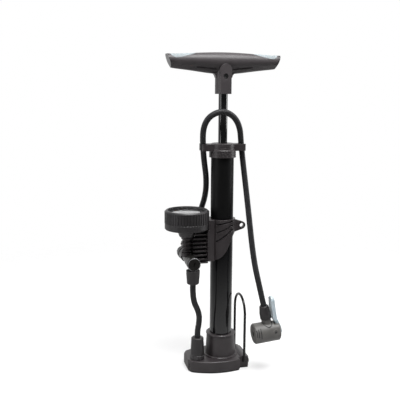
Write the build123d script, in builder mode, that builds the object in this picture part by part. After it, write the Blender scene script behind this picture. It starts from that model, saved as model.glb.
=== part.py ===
from build123d import *
import math
import os

# Floor bike pump. Origin on the barrel axis at the floor, +Z up, front -Y, gauge on the -X side.
os.makedirs("parts", exist_ok=True)

# ---- driving dimensions ----
BARREL_R = 17.5
BARREL_BORE_R = 16.0
ROD_R = 7.0
ROD_BORE_R = 5.5
HOSE_R = 4.5
HOSE_BORE_R = 2.5
RUNNING = 0.05
FIT = 0.05

# base
SOLE_TOP = 3.0
BASE_TOP = 19.0
BASE_LEFT = -57.0
BASE_LEFT_HALF = 14.0
BASE_CORNER = (-53.0, 22.0)
BASE_BULGE = (-6.0, 35.0)
BASE_SHOULDER = (24.0, 31.0)
TONGUE_END = 41.0
TONGUE_HALF = 23.5
SOCKET_TOP = 56.0
SOCKET_TOP_R = 22.0
SOCKET_FOOT_R = 24.0
LIP_R = 26.5
LIP_TOP = 21.0
SEAL_LOW = 22.0
BARREL_LOW = 24.0

# foot bail
BAIL_X = 32.0
BAIL_Z = 12.0
BAIL_HALF = 26.5
BAIL_TOP = 114.5
BAIL_WIRE_R = 2.0
BAIL_ARCH_R = 26.0
BAIL_CORNER_R = 2.6
BAIL_PIN_END = 14.0

# cap and rod
CAP_LOW = 336.0
CAP_SHOULDER = 346.0
CAP_TOP = 357.5
BARREL_TOP = 345.0
BUSH_R = 10.0
BUSH_TOP = 352.0
WIPER_TOP = 354.0
WING_END = 34.4
WING_HALF = 10.8
CLIP_INNER = 24.8
CLIP_FRONT = -8.7
CLIP_BACK = 7.4

# handle
STEM_LOW = 431.0
STEM_R = 12.5
HANDLE_LOW = 460.0
HANDLE_TOP = 492.0
SCREW_Z = 457.0
PANEL_Y = -14.3
PANEL_HALF = 8.7
PANEL_TOP = 475.0

# gauge and its bracket
GAUGE_X = -55.5
DIAL_TOP = 244.0
BRACKET_LOW = 177.0
BRACKET_TOP = 241.0
COLLAR_R = 21.0
LUG_HOLE_R = 3.4
ARM_LOW = 173.0
POST_R = 9.5
POST_TOP = 214.0
POST_BOSS_TOP = 190.0
POST_LOW = 184.0
POST_CORE_R = 6.8
POST_RING_R = 8.9
TEE_X = -53.0
TEE_Z = 179.5
TEE_R = 8.0
FRONT_Y = -31.0
REAR_Y = 35.0
BANJO_HALF = 5.5
BANJO_R = 10.0
LUG = (30.0, 230.0)

# outlet on the base
OUTLET = (-41.0, -12.0)
NUT_TOP = 26.0
LOWER_BOOT_TOP = 54.0

# hose routes, vertex by vertex; the long hose starts in line with its rear boot
REAR_CENTRE = Vector(TEE_X, REAR_Y, TEE_Z)
REAR_AIM = Vector(-27.5, 41.5, 239.0)
REAR_SPAN = 30.0
REAR_RUN = (REAR_AIM - REAR_CENTRE).normalized()
MAIN_ROUTE = [
    tuple(REAR_CENTRE + REAR_RUN * REAR_SPAN),
    tuple(REAR_AIM),
    (-21.5, 13.5, 290.0),
    (-31.2, 0.5, 346.0),
    (-35.5, -17.3, 392.5),
    (-6.0, -23.8, 408.5),
    (23.5, -17.3, 392.5),
    (31.0, 2.5, 347.0),
    (37.5, -12.0, 270.0),
    (43.7, -32.0, 182.0),
    (49.4, -46.0, 142.0),
    (55.6, -46.0, 110.0),
]
GAUGE_ROUTE = [
    (TEE_X, FRONT_Y, 148.0),
    (TEE_X, FRONT_Y, 127.0),
    (-41.5, -22.0, 92.0),
    (OUTLET[0], OUTLET[1], 70.0),
    (OUTLET[0], OUTLET[1], LOWER_BOOT_TOP),
]


def route_radii(points):
    """Bend radius at every inner vertex: tangent arcs that use 0.45 of the shorter run."""
    radii = []
    for before, here, after in zip(points, points[1:], points[2:]):
        first = Vector(*here) - Vector(*before)
        second = Vector(*after) - Vector(*here)
        turn = math.radians(first.get_angle(second))
        radii.append(0.45 * min(first.length, second.length) / math.tan(turn / 2))
    return radii


# ================= base =================
with BuildSketch() as base_outline:
    with BuildLine():
        Line((BASE_LEFT, 0), (BASE_LEFT, BASE_LEFT_HALF))
        Line((BASE_LEFT, BASE_LEFT_HALF), BASE_CORNER)
        ThreePointArc(BASE_CORNER, BASE_BULGE, BASE_SHOULDER)
        Line(BASE_SHOULDER, (BASE_SHOULDER[0], TONGUE_HALF))
        Line((BASE_SHOULDER[0], TONGUE_HALF), (TONGUE_END, TONGUE_HALF))
        Line((TONGUE_END, TONGUE_HALF), (TONGUE_END, 0))
        mirror(about=Plane.XZ)
    make_face()

OUTLET_RUN = Vector(OUTLET[0], OUTLET[1], 0)
CHANNEL_Z = 9.0
CHANNEL_R = 2.0
CHAMBER_R = 4.5
CHAMBER_LOW = 6.0
SEAT_LOW = 17.0
SEAT_R = 6.5
BARB_LOW = 12.0
BARB_ROOT_R = 3.5
HINGE_R = 9.0

with BuildPart() as base_casting:
    with BuildSketch(Plane.XY.offset(SOLE_TOP)):
        add(base_outline.sketch)
    extrude(amount=BASE_TOP - SOLE_TOP)
    fillet(base_casting.edges().filter_by(Axis.Z).group_by(Axis.X)[0], 3)
    fillet(base_casting.edges().filter_by(Axis.Z).group_by(Axis.X)[-1], 4)
    fillet(base_casting.faces().sort_by(Axis.Z)[-1].edges(), 2.2)
    with BuildSketch(Plane.XZ):
        with Locations((BAIL_X, BAIL_Z)):
            Circle(HINGE_R)
    extrude(amount=TONGUE_HALF, both=True)
    with BuildSketch(Plane.XZ):
        with BuildLine():
            Polyline(
                (0, BASE_TOP - 1),
                (LIP_R, BASE_TOP - 1),
                (LIP_R, LIP_TOP - 0.6),
                (LIP_R - 0.6, LIP_TOP),
                (SOCKET_FOOT_R, LIP_TOP),
                (SOCKET_TOP_R, SOCKET_TOP - 1),
                (SOCKET_TOP_R - 1, SOCKET_TOP),
                (0, SOCKET_TOP),
                close=True,
            )
        make_face()
    revolve(axis=Axis.Z)
    # barrel bore, valve pocket and chamber
    with BuildSketch(Plane.XZ):
        with BuildLine():
            Polyline(
                (0, CHAMBER_LOW),
                (CHAMBER_R, CHAMBER_LOW),
                (CHAMBER_R, SEAT_LOW),
                (SEAT_R + FIT, SEAT_LOW),
                (SEAT_R + FIT, SEAL_LOW),
                (BARREL_R + FIT, SEAL_LOW),
                (BARREL_R + FIT, SOCKET_TOP + 1),
                (0, SOCKET_TOP + 1),
                close=True,
            )
        make_face()
    revolve(axis=Axis.Z, mode=Mode.SUBTRACT)
    # air channel to the outlet, and the outlet's own bore
    with BuildSketch(Plane(origin=(0, 0, CHANNEL_Z), z_dir=OUTLET_RUN)):
        Circle(CHANNEL_R)
    extrude(amount=OUTLET_RUN.length, mode=Mode.SUBTRACT)
    with BuildSketch(Plane.XY.offset(CHANNEL_Z - CHANNEL_R)):
        with Locations(OUTLET):
            Circle(CHANNEL_R + 0.5)
    extrude(amount=BASE_TOP, mode=Mode.SUBTRACT)
    with BuildSketch(Plane.XY.offset(BARB_LOW)):
        with Locations(OUTLET):
            Circle(BARB_ROOT_R + FIT)
    extrude(amount=BASE_TOP, mode=Mode.SUBTRACT)
    # bail pivot holes, one from each side of the tongue
    for side in (-1, 1):
        with BuildSketch(Plane.XZ.offset(side * (BAIL_PIN_END - 0.5))):
            with Locations((BAIL_X, BAIL_Z)):
                Circle(BAIL_WIRE_R + RUNNING)
        extrude(amount=side * TONGUE_HALF, mode=Mode.SUBTRACT)
    # two small recesses in each chamfered corner of the gauge end
    for side in (-1, 1):
        corner_mid = ((BASE_LEFT + BASE_CORNER[0]) / 2, side * (BASE_LEFT_HALF + BASE_CORNER[1]) / 2, 0)
        corner_face = Plane(origin=corner_mid, x_dir=(0, 0, 1), z_dir=(-2, side, 0))
        with BuildSketch(corner_face.offset(-1.5)):
            with Locations((8.0, 0), (12.5, 0)):
                SlotOverall(4.4, 1.8, rotation=90)
        extrude(amount=6, mode=Mode.SUBTRACT)
base_casting.part.label = "base_casting"
export_step(base_casting.part, "parts/base_casting.step")

with BuildPart() as sole_pad:
    with BuildSketch():
        add(base_outline.sketch)
        offset(amount=-1.2)
    extrude(amount=SOLE_TOP)
    chamfer(sole_pad.faces().sort_by(Axis.Z)[0].edges(), 0.6)
sole_pad.part.label = "sole_pad"
export_step(sole_pad.part, "parts/sole_pad.step")

with BuildPart() as barrel_seal:
    with BuildSketch(Plane.XY.offset(SEAL_LOW)):
        Circle(BARREL_R)
        Circle(BARREL_BORE_R - 0.5, mode=Mode.SUBTRACT)
    extrude(amount=BARREL_LOW - SEAL_LOW)
barrel_seal.part.label = "barrel_seal"
export_step(barrel_seal.part, "parts/barrel_seal.step")

SEAT_HOLE_R = 1.8
BALL_R = 3.0
BALL_GAP = 0.2
BALL_Z = SEAT_LOW - math.sqrt(BALL_R**2 - SEAT_HOLE_R**2) - BALL_GAP

with BuildPart() as valve_seat:
    with BuildSketch(Plane.XY.offset(SEAT_LOW)):
        Circle(SEAT_R)
        Circle(SEAT_HOLE_R, mode=Mode.SUBTRACT)
    extrude(amount=SEAL_LOW - SEAT_LOW)
    with BuildSketch(Plane.XY.offset(SEAL_LOW - 1.2)):
        Rectangle(2 * SEAT_R - 2, 1.4)
    extrude(amount=2, mode=Mode.SUBTRACT)
valve_seat.part.label = "valve_seat"
export_step(valve_seat.part, "parts/valve_seat.step")

with BuildPart() as valve_ball:
    with Locations((0, 0, BALL_Z)):
        Sphere(BALL_R)
valve_ball.part.label = "valve_ball"
export_step(valve_ball.part, "parts/valve_ball.step")

SPRING_WIRE_R = 0.35
SPRING_R = 2.2
SPRING_LOW = CHAMBER_LOW + SPRING_WIRE_R
SPRING_HIGH = BALL_Z - math.sqrt(BALL_R**2 - SPRING_R**2) - 2.2 * SPRING_WIRE_R

with BuildPart() as valve_spring:
    with BuildLine() as spring_path:
        Helix(pitch=(SPRING_HIGH - SPRING_LOW) / 4, height=SPRING_HIGH - SPRING_LOW, radius=SPRING_R,
              center=(0, 0, SPRING_LOW))
    with BuildSketch(Plane(origin=spring_path.line @ 0, z_dir=spring_path.line % 0)):
        Circle(SPRING_WIRE_R)
    sweep(path=spring_path.line, is_frenet=True)
valve_spring.part.label = "valve_spring"
export_step(valve_spring.part, "parts/valve_spring.step")

NUT_R = 11.2
BARB_R = 3.2
BARB_BORE_R = 1.5
BARB_TOP = 45.0

with BuildPart() as outlet_nut:
    with BuildSketch(Plane.XY.offset(BASE_TOP)):
        with Locations(OUTLET):
            Circle(NUT_R)
            Circle(BARB_ROOT_R + FIT, mode=Mode.SUBTRACT)
            with PolarLocations(NUT_R + 0.4, 8):
                Circle(1.2, mode=Mode.SUBTRACT)
    extrude(amount=NUT_TOP - BASE_TOP)
    chamfer(outlet_nut.faces().sort_by(Axis.Z)[-1].outer_wire().edges(), 0.5)
outlet_nut.part.label = "outlet_nut"
export_step(outlet_nut.part, "parts/outlet_nut.step")

OUTLET_PLANE = Plane(origin=(OUTLET[0], OUTLET[1], 0), x_dir=(1, 0, 0), z_dir=(0, -1, 0))
OUTLET_AXIS = Axis((OUTLET[0], OUTLET[1], 0), (0, 0, 1))

with BuildPart() as outlet_barb:
    with BuildSketch(OUTLET_PLANE):
        with BuildLine():
            Polyline(
                (BARB_BORE_R, BARB_LOW),
                (BARB_ROOT_R, BARB_LOW),
                (BARB_ROOT_R, NUT_TOP),
                (BARB_R, NUT_TOP),
                (BARB_R, BARB_TOP - 2),
                (BARB_R - 0.8, BARB_TOP),
                (BARB_BORE_R, BARB_TOP),
                close=True,
            )
        make_face()
    revolve(axis=OUTLET_AXIS)
outlet_barb.part.label = "outlet_barb"
export_step(outlet_barb.part, "parts/outlet_barb.step")

BOOT_LOW_R = 10.6
BOOT_HIGH_R = 9.6

with BuildPart() as lower_boot:
    with BuildSketch(OUTLET_PLANE):
        with BuildLine():
            Polyline(
                (BARB_R + FIT, NUT_TOP),
                (BOOT_LOW_R, NUT_TOP),
                (BOOT_LOW_R, NUT_TOP + 7),
                (BOOT_HIGH_R, LOWER_BOOT_TOP - 1),
                (BOOT_HIGH_R - 1, LOWER_BOOT_TOP),
                (HOSE_BORE_R, LOWER_BOOT_TOP),
                (HOSE_BORE_R, BARB_TOP + 1),
                (BARB_R + FIT, BARB_TOP + 1),
                close=True,
            )
        make_face()
    revolve(axis=OUTLET_AXIS)
lower_boot.part.label = "lower_boot"
export_step(lower_boot.part, "parts/lower_boot.step")

with BuildPart() as foot_bail:
    with BuildLine() as bail_path:
        FilletPolyline(
            (BAIL_X, BAIL_PIN_END, BAIL_Z),
            (BAIL_X, BAIL_HALF, BAIL_Z),
            (BAIL_X, BAIL_HALF, BAIL_TOP),
            (BAIL_X, -BAIL_HALF, BAIL_TOP),
            (BAIL_X, -BAIL_HALF, BAIL_Z),
            (BAIL_X, -BAIL_PIN_END, BAIL_Z),
            radius=[BAIL_CORNER_R, BAIL_ARCH_R, BAIL_ARCH_R, BAIL_CORNER_R],
        )
    with BuildSketch(Plane(origin=bail_path.line @ 0, z_dir=bail_path.line % 0)):
        Circle(BAIL_WIRE_R)
    sweep(path=bail_path.line)
foot_bail.part.label = "foot_bail"
export_step(foot_bail.part, "parts/foot_bail.step")

# ================= barrel, cap and rod =================
with BuildPart() as barrel:
    with BuildSketch(Plane.XY.offset(BARREL_LOW)):
        Circle(BARREL_R)
        Circle(BARREL_BORE_R, mode=Mode.SUBTRACT)
    extrude(amount=BARREL_TOP - BARREL_LOW)
barrel.part.label = "barrel"
export_step(barrel.part, "parts/barrel.step")

SKIRT_R = 20.5
BOSS_R = 18.8
RING_DEPTH = 0.5
RING_HEIGHTS = (338.6, 341.4, 344.2, 350.6)

with BuildPart() as barrel_cap:
    with BuildSketch(Plane.XY.offset(CAP_SHOULDER)):
        RectangleRounded(2 * WING_END, 2 * WING_HALF, 3.0)
        for side in (-1, 1):
            with Locations((side * WING_END, (CLIP_FRONT + CLIP_BACK) / 2)):
                Rectangle(2 * (WING_END - CLIP_INNER), CLIP_BACK - CLIP_FRONT, mode=Mode.SUBTRACT)
    extrude(amount=CAP_TOP - 1 - CAP_SHOULDER)
    with BuildSketch(Plane.XZ):
        with BuildLine():
            Polyline(
                (0, CAP_LOW),
                (SKIRT_R, CAP_LOW),
                (SKIRT_R, CAP_SHOULDER + 0.5),
                (SKIRT_R - 1, CAP_SHOULDER + 1.5),
                (BOSS_R, CAP_SHOULDER + 2),
                (BOSS_R, CAP_TOP - 1),
                (BOSS_R - 3, CAP_TOP),
                (0, CAP_TOP),
                close=True,
            )
        make_face()
    revolve(axis=Axis.Z)
    with BuildSketch(Plane.XZ):
        with BuildLine():
            Polyline(
                (0, CAP_LOW - 1),
                (BARREL_R + FIT, CAP_LOW - 1),
                (BARREL_R + FIT, BARREL_TOP),
                (BUSH_R, BARREL_TOP),
                (BUSH_R, WIPER_TOP),
                (ROD_R + 0.4, WIPER_TOP),
                (ROD_R + 0.4, CAP_TOP + 1),
                (0, CAP_TOP + 1),
                close=True,
            )
        make_face()
    revolve(axis=Axis.Z, mode=Mode.SUBTRACT)
    # shallow rings turned round the skirt and the boss
    for height in RING_HEIGHTS:
        outer = SKIRT_R if height < CAP_SHOULDER else BOSS_R
        with BuildSketch(Plane.XY.offset(height)):
            Circle(outer + 1)
            Circle(outer - RING_DEPTH, mode=Mode.SUBTRACT)
            if height > CAP_SHOULDER:
                Rectangle(2 * outer, 2 * WING_HALF, mode=Mode.SUBTRACT)
        extrude(amount=0.8, mode=Mode.SUBTRACT)
barrel_cap.part.label = "barrel_cap"
export_step(barrel_cap.part, "parts/barrel_cap.step")

with BuildPart() as rod_bush:
    with BuildSketch(Plane.XY.offset(BARREL_TOP)):
        Circle(BUSH_R - 0.02)
        Circle(ROD_R + RUNNING, mode=Mode.SUBTRACT)
    extrude(amount=BUSH_TOP - BARREL_TOP)
rod_bush.part.label = "rod_bush"
export_step(rod_bush.part, "parts/rod_bush.step")

with BuildPart() as rod_wiper:
    with BuildSketch(Plane.XY.offset(BUSH_TOP)):
        Circle(BUSH_R - 0.02)
        Circle(ROD_R + RUNNING, mode=Mode.SUBTRACT)
    extrude(amount=WIPER_TOP - BUSH_TOP)
rod_wiper.part.label = "rod_wiper"
export_step(rod_wiper.part, "parts/rod_wiper.step")

PISTON_R = 15.7
PISTON_LOW = 104.0
PISTON_TOP = 122.0
PISTON_COLLAR_TOP = 128.0
GROOVE_LOW = 109.0
GROOVE_TOP = 114.0
GROOVE_R = 12.5
ROD_TOP = 466.0
PLUG_TOP = 140.0
BOLT_R = 3.0
BOLT_TOP = 132.0
SCREW_R = 2.0

with BuildPart() as piston_rod:
    with BuildSketch(Plane.XY.offset(PISTON_TOP)):
        Circle(ROD_R)
        Circle(ROD_BORE_R, mode=Mode.SUBTRACT)
    extrude(amount=ROD_TOP - PISTON_TOP)
    with BuildSketch(Plane.XZ):
        with Locations((0, SCREW_Z)):
            Circle(SCREW_R + FIT)
    extrude(amount=ROD_R + 1, both=True, mode=Mode.SUBTRACT)
piston_rod.part.label = "piston_rod"
export_step(piston_rod.part, "parts/piston_rod.step")

with BuildPart() as rod_plug:
    with BuildSketch(Plane.XY.offset(PISTON_TOP)):
        Circle(ROD_BORE_R - 0.02)
        Circle(BOLT_R + FIT, mode=Mode.SUBTRACT)
    extrude(amount=PLUG_TOP - PISTON_TOP)
rod_plug.part.label = "rod_plug"
export_step(rod_plug.part, "parts/rod_plug.step")

with BuildPart() as piston_head:
    with BuildSketch(Plane.XZ):
        with BuildLine():
            Polyline(
                (BOLT_R + FIT, PISTON_LOW),
                (PISTON_R, PISTON_LOW),
                (PISTON_R, GROOVE_LOW),
                (GROOVE_R, GROOVE_LOW),
                (GROOVE_R, GROOVE_TOP),
                (PISTON_R, GROOVE_TOP),
                (PISTON_R, PISTON_TOP),
                (ROD_R + 2.5, PISTON_TOP),
                (ROD_R + 2.5, PISTON_COLLAR_TOP),
                (ROD_R + FIT, PISTON_COLLAR_TOP),
                (ROD_R + FIT, PISTON_TOP),
                (BOLT_R + FIT, PISTON_TOP),
                close=True,
            )
        make_face()
    revolve(axis=Axis.Z)
piston_head.part.label = "piston_head"
export_step(piston_head.part, "parts/piston_head.step")

with BuildPart() as piston_seal:
    with BuildSketch(Plane.XY.offset(GROOVE_LOW + 0.2)):
        Circle(BARREL_BORE_R - RUNNING)
        Circle(GROOVE_R + FIT, mode=Mode.SUBTRACT)
    extrude(amount=GROOVE_TOP - GROOVE_LOW - 0.4)
piston_seal.part.label = "piston_seal"
export_step(piston_seal.part, "parts/piston_seal.step")

with BuildPart() as piston_screw:
    with BuildSketch(Plane.XY.offset(PISTON_LOW - 4)):
        RegularPolygon(5.5, 6)
    extrude(amount=4)
    with BuildSketch(Plane.XY.offset(PISTON_LOW)):
        Circle(BOLT_R)
    extrude(amount=BOLT_TOP - PISTON_LOW)
piston_screw.part.label = "piston_screw"
export_step(piston_screw.part, "parts/piston_screw.step")

# ================= handle =================
# one section per station: x, underside, top, half depth; the shoulders are nearly round, the keel narrower
SHOULDER_SHARE = 0.42
KEEL_SHARE = 0.62
HANDLE_STATIONS = [(0.0, HANDLE_LOW, HANDLE_TOP, 14.0), (44.0, 464.0, 490.4, 13.6),
                   (66.0, 466.6, 489.2, 13.0), (92.0, 471.0, 488.6, 12.0)]
stations = [(-x, low, top, half) for x, low, top, half in reversed(HANDLE_STATIONS[1:])]
stations += HANDLE_STATIONS

with BuildPart() as handle_blank:
    for x, low, top, half in stations:
        with BuildSketch(Plane(origin=(x, 0, 0), x_dir=(0, 1, 0), z_dir=(1, 0, 0))):
            corner_r = SHOULDER_SHARE * (top - low)
            keel_r = KEEL_SHARE * half
            with BuildLine():
                CenterArc((half - corner_r, top - corner_r), corner_r, 0, 360)
                CenterArc((corner_r - half, top - corner_r), corner_r, 0, 360)
                CenterArc((0, low + keel_r), keel_r, 0, 360)
            make_hull()
    loft()

END_TILT = (19.0, 0, -6.5)
END_X = 83.6
END_Z = 478.5
CAP_THICK = 1.8
# the pad's seat, as x and height: a scoop that is deepest near the tip
PAD_SEAT = [(38.0, 492.0), (52.0, 487.4), (64.0, 484.2), (75.0, 483.0), (83.5, 490.5)]
SLOT_CENTRE = (28.0, 467.6)
SLOT_LONG = 31.0
SLOT_WIDE = 4.2
SLOT_LEAN = 5.5
SLOT_FLOOR_Y = 8.2
FLARE_X = STEM_R + 7
FLARE_LOW = HANDLE_LOW - 5
FLARE_TOP = HANDLE_LOW + 2.2
FLARE_R = 7.5

right_face = Plane(origin=(END_X, 0, END_Z), x_dir=(0, 1, 0), z_dir=END_TILT)
left_face = Plane(origin=(-END_X, 0, END_Z), x_dir=(0, 1, 0), z_dir=(-END_TILT[0], 0, END_TILT[2]))

with BuildPart() as pad_space_right:
    with BuildSketch(Plane.XZ):
        with BuildLine():
            seat = Spline(*PAD_SEAT)
            above = HANDLE_TOP + 5
            Polyline(seat @ 1, (PAD_SEAT[-1][0], above), (PAD_SEAT[0][0], above), seat @ 0)
        make_face()
    extrude(amount=20, both=True)

with BuildPart() as pad_space_left:
    mirror(pad_space_right.part, about=Plane.YZ)

with BuildPart() as end_cap_right:
    add(handle_blank.part)
    split(bisect_by=right_face, keep=Keep.BOTTOM)
    split(bisect_by=right_face.offset(-CAP_THICK), keep=Keep.TOP)
end_cap_right.part.label = "end_cap_right"
export_step(end_cap_right.part, "parts/end_cap_right.step")

with BuildPart() as end_cap_left:
    add(handle_blank.part)
    split(bisect_by=left_face, keep=Keep.BOTTOM)
    split(bisect_by=left_face.offset(-CAP_THICK), keep=Keep.TOP)
end_cap_left.part.label = "end_cap_left"
export_step(end_cap_left.part, "parts/end_cap_left.step")

with BuildPart() as grip_pad_right:
    add(handle_blank.part)
    add(pad_space_right.part, mode=Mode.INTERSECT)
grip_pad_right.part.label = "grip_pad_right"
export_step(grip_pad_right.part, "parts/grip_pad_right.step")

with BuildPart() as grip_pad_left:
    add(handle_blank.part)
    add(pad_space_left.part, mode=Mode.INTERSECT)
grip_pad_left.part.label = "grip_pad_left"
export_step(grip_pad_left.part, "parts/grip_pad_left.step")

with BuildPart() as handle_body:
    add(handle_blank.part)
    split(bisect_by=right_face.offset(-CAP_THICK), keep=Keep.BOTTOM)
    split(bisect_by=left_face.offset(-CAP_THICK), keep=Keep.BOTTOM)
    add(pad_space_right.part, mode=Mode.SUBTRACT)
    add(pad_space_left.part, mode=Mode.SUBTRACT)
    # stem, and the raised panel that runs down its front
    with BuildSketch(Plane.XY.offset(STEM_LOW)):
        Circle(STEM_R)
    extrude(amount=HANDLE_LOW + 6 - STEM_LOW)
    # flared root where the stem meets the grip
    with BuildSketch(Plane.XZ):
        with BuildLine():
            for side in (-1, 1):
                RadiusArc((side * STEM_R, FLARE_LOW), (side * FLARE_X, FLARE_TOP), side * FLARE_R)
            Line((-FLARE_X, FLARE_TOP), (FLARE_X, FLARE_TOP))
            Line((-STEM_R, FLARE_LOW), (STEM_R, FLARE_LOW))
        make_face()
    extrude(amount=5, both=True)
    with BuildSketch(Plane.XZ.offset(8)):
        with Locations((0, (STEM_LOW + PANEL_TOP - PANEL_HALF) / 2)):
            Rectangle(2 * PANEL_HALF, PANEL_TOP - PANEL_HALF - STEM_LOW)
        with Locations((0, PANEL_TOP - PANEL_HALF)):
            Circle(PANEL_HALF)
    extrude(amount=-PANEL_Y - 8)
    # rod bore, screw hole and the recessed slots low on both long faces
    with BuildSketch(Plane.XY.offset(STEM_LOW - 1)):
        Circle(ROD_R + FIT)
    extrude(amount=ROD_TOP + 0.5 - STEM_LOW + 1, mode=Mode.SUBTRACT)
    with BuildSketch(Plane.XZ.offset(-9)):
        with Locations((0, SCREW_Z)):
            Circle(SCREW_R + FIT)
    extrude(amount=30, mode=Mode.SUBTRACT)
    with BuildSketch(Plane.XZ.offset(-PANEL_Y - 2.6)):
        with Locations((0, SCREW_Z)):
            Circle(3.8)
    extrude(amount=10, mode=Mode.SUBTRACT)
    for side in (-1, 1):
        for depth in (-1, 1):
            with BuildSketch(Plane.XZ.offset(depth * SLOT_FLOOR_Y)):
                with Locations((side * SLOT_CENTRE[0], SLOT_CENTRE[1])):
                    SlotOverall(SLOT_LONG, SLOT_WIDE, rotation=side * SLOT_LEAN)
            extrude(amount=depth * 10, mode=Mode.SUBTRACT)
handle_body.part.label = "handle_body"
export_step(handle_body.part, "parts/handle_body.step")

with BuildPart() as handle_screw:
    with BuildSketch(Plane.XZ.offset(-8.5)):
        with Locations((0, SCREW_Z)):
            Circle(SCREW_R)
    extrude(amount=-PANEL_Y - 2.6 + 8.5)
    with BuildSketch(Plane.XZ.offset(-PANEL_Y - 2.6)):
        with Locations((0, SCREW_Z)):
            Circle(3.5)
            RegularPolygon(1.6, 6, mode=Mode.SUBTRACT)
    extrude(amount=1.8)
handle_screw.part.label = "handle_screw"
export_step(handle_screw.part, "parts/handle_screw.step")

# ================= bracket =================
GUARD_R = 34.5
GUARD_LOW = 226.5
FOOT_R = 12.0
CONE_TOP = 223.0
SHELL_R = 29.5
SHELL_LOW = 226.2
ARM_BLOCK_LEFT = -26.5
ARM_BLOCK_RIGHT = -15.5
ARM_BLOCK_HALF = 17.0
SCREW_TIP_X = -16.5
SCREW_SEAT_X = ARM_BLOCK_LEFT + 1.5
GROOVE_WIDE = 2.4
GROOVE_DEEP = 2.2
GROOVES = [(-13.0, 234.0, 13.0, 239.0), (-13.0, 221.0, 13.0, 233.0), (-13.0, 207.5, 13.0, 226.6)]
# behind the web: -Y offset and height
ARM_SCREWS = [(-10.5, 186.0), (-10.5, 217.0)]

with BuildPart() as groove_cutter:
    with BuildSketch(Plane.XY.offset(BRACKET_LOW)):
        Circle(COLLAR_R + 2)
        Circle(COLLAR_R - GROOVE_DEEP, mode=Mode.SUBTRACT)
    extrude(amount=BRACKET_TOP - BRACKET_LOW)
    with BuildSketch(Plane.XZ):
        for x0, z0, x1, z1 in GROOVES:
            with Locations(((x0 + x1) / 2, (z0 + z1) / 2)):
                lean = math.degrees(math.atan2(z1 - z0, x1 - x0))
                SlotOverall(math.hypot(x1 - x0, z1 - z0), GROOVE_WIDE, rotation=lean)
    extrude(amount=COLLAR_R + 5, mode=Mode.INTERSECT)

with BuildPart() as bracket_collar:
    with BuildSketch(Plane.XY.offset(BRACKET_LOW)):
        Circle(COLLAR_R)
    extrude(amount=BRACKET_TOP - BRACKET_LOW)
    # the lower edge sweeps up from the arm side to the lug
    with BuildSketch(Plane.XZ):
        with BuildLine():
            Spline((-15.7, 178), (-1.5, 187.5), (6.5, 201), (12.1, 213), (17.0, 219.5), (26, 222))
            Polyline((26, 222), (26, 170), (-15.7, 170), (-15.7, 178))
        make_face()
    extrude(amount=COLLAR_R + 5, both=True, mode=Mode.SUBTRACT)
    with BuildSketch(Plane.XZ.offset(3)):
        with BuildLine():
            CenterArc(LUG, 5.8, 0, 360)
            Line((15, 219), (15, BRACKET_TOP))
        make_hull()
    extrude(amount=6)
    with BuildSketch(Plane.XZ):
        with Locations(LUG):
            Circle(LUG_HOLE_R)
    extrude(amount=COLLAR_R, mode=Mode.SUBTRACT)
    with BuildSketch(Plane.XY.offset(BRACKET_LOW - 1)):
        Circle(BARREL_R + FIT)
    extrude(amount=BRACKET_TOP - BRACKET_LOW + 2, mode=Mode.SUBTRACT)
    add(groove_cutter.part, mode=Mode.SUBTRACT)
    with BuildSketch(Plane.XY.offset(GUARD_LOW - 1)):
        with Locations((GAUGE_X, 0)):
            Circle(GUARD_R + 0.4)
    extrude(amount=40, mode=Mode.SUBTRACT)
    with BuildSketch(Plane(origin=(0, 0, 0), x_dir=(0, -1, 0), z_dir=(-1, 0, 0))):
        for y, z in ARM_SCREWS:
            with Locations((y, z)):
                Circle(SCREW_R + FIT)
    extrude(amount=40, mode=Mode.SUBTRACT)
bracket_collar.part.label = "bracket_collar"
export_step(bracket_collar.part, "parts/bracket_collar.step")

RIB_COUNT = 8
RIB_PITCH = 6.5
RIB_THICK = 2.4
RIB_HALF = 12.0
WEB_THICK = 7.0

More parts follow.
